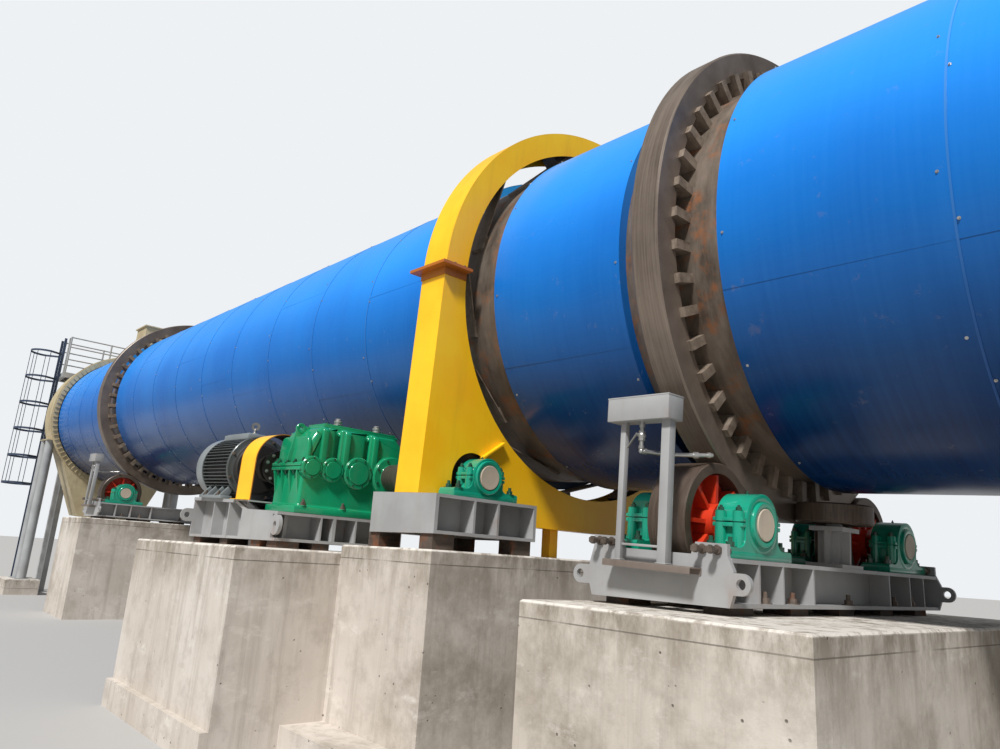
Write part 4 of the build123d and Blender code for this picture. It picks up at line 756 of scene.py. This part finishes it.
for side in (-1, 1):
    for y, radius, count, proud in reducer["bearings"]:
        # a cap bolted over the shaft's end, or a ring round the shaft that comes out
        place = shift(middle + side * (279 + proud), y, split) @ swing(0 if side > 0 else pi, "Z")
        inner = radius * 0.74
        capped = radius < 150
        addSpun(bm, [(-60, 0), (-60, radius + 9), (-12, radius + 6), (-8, radius + 2), (-8, 0)], 64, place)
        if capped:
            outline = [(-9, 0), (-9, radius - 1), (-3, radius - 1), (0, radius - 4), (0, inner + 5),
                       (-3, inner + 3), (-3, inner), (4, inner - 1), (7, inner - 4), (7, 0)]
        else:
            outline = [(-9, 84), (-9, radius), (2, radius - 1), (5, radius - 4), (5, 122), (12, 119), (14, 115),
                       (14, 84)]
        addSpun(bm, outline, 64, place)
        rise, across, extra = (0, 14, 4) if capped else (5, 19, -2)
        for spot in around(count, (radius + inner) / 2 + extra):
            addBolt(bolts, facing(place @ Vector((rise, *spot)), (side, 0, 0)), across, 0, False)
    for y in reducer["bolts"]:
        x = middle + side * 256
        addRod(bm, (x, y, split + lip), (x, y, split + lip + 12), 22, 20)
        addBolt(bolts, facing((x, y, split + lip + 12)), 27, 12)
        addRod(bm, (x, y, split - lip), (x, y, split - lip - 18), 22, 20)
    for y in reducer["footBolts"]:
        x = middle + side * 258
        addRod(bm, (x, y, foot + 60), (x, y, foot + 67), 34, 24)
        addBolt(anchors, facing((x, y, foot + 67)), 36, 26)
for side, y in ((-1, yLow), (1, yHigh)):
    for x in reducer["endBolts"]:
        addBolt(bolts, facing((middle + x, y - side * 17, split - lip), (0, 0, -1)), 28, 14)
        addBolt(bolts, facing((middle + x, y - side * 17, split + lip)), 28, 10)
    for x in reducer["gussets"]:
        addPlate(bm, [(0, split - 230), (0, split - lip), (34 * side, split - lip), (34 * side, split - 66, 6)],
                 reducer["gusset"], shift(middle + x - reducer["gusset"] / 2, y - side * 42, 0))
for y, way in ((yLow + 96, -1), (yHigh - 78, 1)):
    # lifting lugs
    addSpun(bm, [(-10, 17), (-12, 20), (-12, 43), (-9, 46), (9, 46), (12, 43), (12, 20), (10, 17)], 32,
            shift(middle, y, crown - 30))
    heel = yLow + 6 if way < 0 else yHigh - 6
    addPlate(bm, [(heel, split + 30), (heel, split + 70), (y + way * 42, crown - 46), (y, crown - 62),
                  (y - way * 34, crown - 4), (y - way * 130, crown - 8), (y - way * 130, split + 30)],
             20, shift(middle - 10, 0, 0), 4)
addBox(bm, (middle - 176, -2105, crown - 20), (middle + 176, -1322, crown + 14), 5)
addBox(bm, (middle - 158, -2086, crown + 12), (middle + 158, -1341, crown + 34), 4)
for x in (-142, 142):
    for k in range(7):
        addBolt(bolts, facing((middle + x, -2060 + 115.5 * k, crown + 34)), 17, 0)
finishPiece("reducer_bolts", bolts, paintedBolt)
finishPiece("reducer_foot_bolts", anchors, rustyBolt)
piece = finishPiece("reducer_case", bm, greenEnamel, sharp=40)
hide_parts("reducer")
breathers = bmesh.new()
for y in reducer["breathers"]:
    place = facing((middle, y, crown + 32)) @ swing(-pi / 2, "Y")
    addSpun(breathers, [(0, 0), (0, 25), (10, 25), (12, 22), (14, 38), (18, 41), (32, 41), (36, 38), (38, 28),
                        (42, 28), (44, 36), (48, 39), (60, 39), (64, 36), (66, 26), (70, 26), (72, 30), (78, 30),
                        (84, 24), (86, 0)], 28, place)
finishPiece("reducer_breathers", breathers, zincBolt, sharp=30)
print("guard and reducer are done")

# ---- motor, its lifting eye and the lining of the coupling guard, with painted shade on the motor between its fins, its end shield and the lining
motor = {
    "y": -2215, "z": -1639.28, "start": -3030, "end": -2100, "radius": 312, "body": 270, "feet": -2455,
    "footDrop": 315, "footBolts": (-160, 160), "footRibs": (-232, -92, 92, 232),
    "fins": 56, "finReach": 306, "finThickness": 9, "finLength": 640, "shieldBolts": 8,
}
bm, bolts, dark, fins = bmesh.new(), bmesh.new(), bmesh.new(), bmesh.new()
axisY, axisZ = motor["y"], motor["z"]
place = shift(0, axisY, axisZ)
start, end, outer, drop = motor["start"], motor["end"], motor["radius"], motor["footDrop"]
addSpun(bm, [(start, 0), (start, 250), (start + 6, 258), (start + 34, 262), (start + 44, 276), (start + 54, 294),
             (start + 70, 305), (start + 92, outer - 1), (start + 110, outer), (start + 236, outer),
             (start + 240, outer - 3), (start + 240, outer - 12), (start + 230, outer - 12), (start + 230, 0)],
        96, place)
# painted shade: the motor's body between the fins is near-black, standing in for the shade in the gaps between
# fins
addSpun(dark, [(start + 228, 0), (start + 228, motor["body"]), (end - 78, motor["body"]), (end - 78, 0)],
        96, place)
# painted shade: the end shield's face inside the guard is near-black, standing in for the shade under the guard
addSpun(dark, [(end - 26, 60), (end - 26, 256), (end - 14, 248), (end - 10, 234), (end + 1, 224), (end + 1, 60)],
        96, place)
finishPiece("motor_painted_shade_core_and_shield", dark, shadeBlackPaint)
half, root, tip = motor["finThickness"] / 2, motor["body"] - 6, motor["finReach"]
for k in range(motor["fins"]):
    addPlate(fins, [(-half, root), (half, root), (half - 1, tip), (-half + 1, tip)], motor["finLength"],
             place @ swing(2 * pi / motor["fins"] * k) @ shift(start + 232, 0, 0))
addSpun(fins, [(end - 64, 0), (end - 64, outer - 8), (end - 60, outer - 4), (end - 34, outer - 4),
               (end - 28, outer - 10), (end - 28, 262), (end - 22, 250), (end - 22, 0)], 96, place)
finishPiece("motor_fins", fins, finShadePaint, sharp=35)
addBox(bm, (-2878, -104, 262), (-2262, 104, 340), 14, place)
addBox(bm, (-2846, -86, 332), (-2294, 86, 347), 5, place)
addBox(bm, (-2700, 96, 120), (-2420, 250, 300), 12, place)
for side in (-1, 1):
    addBox(bm, (motor["feet"] - 279, side * 199, -drop), (motor["feet"] + 279, side * 309, -drop + 30), 5,
           place)
    for x in motor["footRibs"]:
        addPlate(bm, [(side * 306, 30), (side * 214, 30), (side * 178, 128), (side * 224, 128)], 26,
                 place @ shift(motor["feet"] + x - 13, 0, -drop - 1), 3)
    for x in motor["footBolts"]:
        addBolt(bolts, facing((motor["feet"] + x, axisY + side * 284, axisZ - drop + 30)), 34, 20)
for y, z in around(motor["shieldBolts"], 288):
    addBolt(bolts, facing((end - 28, axisY + y, axisZ + z), (1, 0, 0)), 19, 4)
piece = finishPiece("motor_castings", bm, motorPaint, sharp=35)
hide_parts("motor")
finishPiece("motor_bolts", bolts, rustyBolt)
lug = {"x": -2362, "turn": -23, "bar": 12.5, "ring": 29}
eye, ring = bmesh.new(), bmesh.new()
bmesh.ops.create_circle(ring, cap_ends=False, segments=16, radius=lug["bar"],
                        matrix=shift(0, lug["ring"], 0) @ swing(pi / 2, "Y"))
spinRound(ring, list(ring.verts) + list(ring.edges), 32)
joinPart(eye, ring, shift(lug["x"], axisY, axisZ + 423) @ swing(radians(lug["turn"]), "Z"))
addSpun(eye, [(0, 0), (0, 30), (8, 30), (11, 26), (14, 17), (30, 13), (44, 15), (50, 12), (50, 0)], 24,
        facing((lug["x"], axisY, axisZ + 345)) @ swing(-pi / 2, "Y"))
finishPiece("motor_lifting_eye", eye, zincBolt, sharp=50)
bend = {"x": (-1925, -1609), "radius": 262, "rise": 45, "foot": -311, "thickness": 4}


def addArch(bm, x, radius, thickness):
    # a strip bent over half a circle on two upright legs
    part = bmesh.new()
    verts = [part.verts.new((x[0], -radius, z)) for z in (bend["foot"], bend["rise"])]
    part.edges.new(verts)
    made = bmesh.ops.spin(part, geom=[verts[1]], cent=(0, 0, bend["rise"]), axis=(1, 0, 0), dvec=(0, 0, 0),
                          angle=-pi, steps=36, use_merge=False, use_duplicate=False)["geom_last"]
    leg = bmesh.ops.extrude_vert_indiv(part, verts=vertsOf(made))["verts"]
    bmesh.ops.translate(part, verts=leg, vec=(0, 0, bend["foot"] - bend["rise"]))
    made = bmesh.ops.extrude_edge_only(part, edges=list(part.edges))["geom"]
    bmesh.ops.translate(part, verts=vertsOf(made), vec=(x[1] - x[0], 0, 0))
    bmesh.ops.recalc_face_normals(part, faces=part.faces)
    bmesh.ops.solidify(part, geom=list(part.faces), thickness=thickness)
    joinPart(bm, part, shift(0, axisY, axisZ))


# painted shade: a near-black sheet inside the guard's arch stands in for the shade within it
lining, edge = bmesh.new(), bmesh.new()
addArch(lining, (bend["x"][0] + 2, bend["x"][1] - 2), bend["radius"] - bend["thickness"] - 3, 2)
finishPiece("coupling_guard_painted_shade_lining", lining, shadeBlackPaint, sharp=20)
for x in ((bend["x"][0] - 2, bend["x"][0] + 4), (bend["x"][1] - 4, bend["x"][1] + 2)):
    addArch(edge, x, bend["radius"] + 1, 7)
finishPiece("coupling_guard_edges", edge, splicePrimer, sharp=20)
coupling = {"x": (-1702, -1668), "bore": 45, "radius": 154, "bolts": 10, "circle": 128}
disc, bolts = bmesh.new(), bmesh.new()
near, far = coupling["x"]
rim = coupling["radius"]
addSpun(disc, [(near, coupling["bore"]), (near, rim - 4), (near + 4, rim), (far - 4, rim), (far, rim - 4),
               (far, coupling["bore"])], 48, shift(0, axisY, axisZ))
for y, z in around(coupling["bolts"], coupling["circle"]):
    addBolt(bolts, facing((far, axisY + y, axisZ + z), (1, 0, 0)), 19, 10)
finishPiece("coupling_disc", disc, cutGear, "motor_shaft")
finishPiece("coupling_disc_bolts", bolts, zincBolt, "motor_shaft")
print("motor is done")

# ---- oil boxes over the near rollers, with their valve and drip pipe
oiler = {
    "face": -1535.3, "low": -2190, "height": 830, "channel": (-302, 316), "channelDepth": 118, "wall": 8,
    "box": (-301, 161), "posts": ((-212, 40), (112, 60)), "pipe": 13, "drop": -82, "valve": 84,
}
for name, at in drum["tyres"].items():
    frameBars, channel, pipes = bmesh.new(), bmesh.new(), bmesh.new()
    face, low, wall, bore = oiler["face"], oiler["low"], oiler["wall"], oiler["pipe"]
    y = face - 70
    deck = low + 38
    roof = deck + oiler["height"]
    for x, width in oiler["posts"]:
        for reach, top, rounding in ((width / 2, roof + 2, 4), (width / 2 + 7, deck + 7, 3)):
            addBox(frameBars, (at + x - reach, y - reach, deck), (at + x + reach, y + reach, top), rounding)
    addBox(frameBars, (at - 200, y - 7, deck + 88), (at + 100, y + 7, deck + 102), 2)
    left, right = at + oiler["box"][0], at + oiler["box"][1]
    addBox(frameBars, (left + 1, y - 74, roof), (right - 1, y + 74, roof + 148), 5)
    addBox(frameBars, (left - 1, y - 76, roof + 140), (right + 1, y + 76, roof + 150), 3)
    back = face - oiler["channelDepth"]
    addPlate(channel, [(face, low), (face, deck, 6), (back, deck, 6), (back, low), (back + wall, low),
                       (back + wall, deck - wall, 4), (face - wall, deck - wall, 4), (face - wall, low)],
             oiler["channel"][1] - oiler["channel"][0], shift(at + oiler["channel"][0], 0, 0), 1.5)
    # the pipe falls from the box, crosses to the roller and ends over it
    route = [Vector((at + oiler["drop"], y, roof)), Vector((at + oiler["drop"], y, -1500)),
             Vector((at - 12, -1430, -1500)), Vector((at + 156, -1205, -1478))]
    for a, b in zip(route, route[1:]):
        way = (b - a).normalized()
        addRod(pipes, a, b, bore)
        addRod(pipes, a + way * 14, a + way * 34, bore + 5, 12)
        addRod(pipes, b - way * 34, b - way * 14, bore + 5, 12)
    middle = route[2].lerp(route[3], 0.62)
    addRod(pipes, middle - way * 16, middle + way * 16, bore + 7, 6)
    valve = Vector((at + oiler["drop"], y, roof - oiler["valve"]))
    for ball, radius in ((route[1], bore + 3), (route[2], bore + 3), (valve, 25)):
        bmesh.ops.create_uvsphere(pipes, u_segments=16, v_segments=10, radius=radius, matrix=shift(*ball))
    addRod(pipes, valve - Vector((0, 0, 30)), valve + Vector((0, 0, 30)), bore + 8, 6)
    addRod(pipes, valve, valve + Vector((-12, -32, 4)), 9, 12)
    lever = facing(valve + Vector((-14, -34, 6)), Vector((-0.62, 0, -0.78)))
    addBox(pipes, (-8, -3, -8), (8, 3, 104), 2.5, lever)
    piece = finishPiece(f"{name}_oiler_frame", frameBars, greyPaint)
    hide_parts(f"{name}_oiler")
    finishPiece(f"{name}_oiler_channel", channel, channelPaint)
    finishPiece(f"{name}_oiler_pipe", pipes, zincBolt, sharp=40)
print("oil boxes are done")

# ---- roller stations: jacking screws, anchor bolts
station = {
    "top": -2085.54, "width": 966, "length": 3070, "foot": {"right": 1332.0, "left": 1825.65},
    "screwInsets": (66, 160), "anchorInsets": (48, 250), "anchorsAt": (-1085, -760, 0, 760, 1085),
}
# where each screw's thread and nuts start and end outside the end plate, with radius and sides
screw = ((-108, 66, 17, 16), (2, 22, 28, 6), (-32, -52, 28, 6), (64, 94, 24, 6))
for name, at in drum["tyres"].items():
    bolts, anchors = bmesh.new(), bmesh.new()
    centre = levelX(at, station["top"])
    for side in (-1, 1):
        for inset in station["screwInsets"]:
            x = centre + side * (station["width"] / 2 - inset)
            z = deckHeight(station["top"], x) + 38
            for end in (-1, 1):
                for start, stop, radius, sides in screw:
                    addRod(bolts, (x, end * (station["length"] / 2 + start), z),
                           (x, end * (station["length"] / 2 + stop), z), radius, sides)
        for inset in station["anchorInsets"]:
            x = centre + side * (station["width"] / 2 - inset)
            for y in station["anchorsAt"]:
                addBolt(anchors, facing((x, y, station["foot"][name] + 24)), 46, 34)
    finishPiece(f"{name}_jacking_screws", bolts, rustyBolt, leaned=False)
    finishPiece(f"{name}_anchor_bolts", anchors, rustyBolt, leaned=False)
print("stations are done")
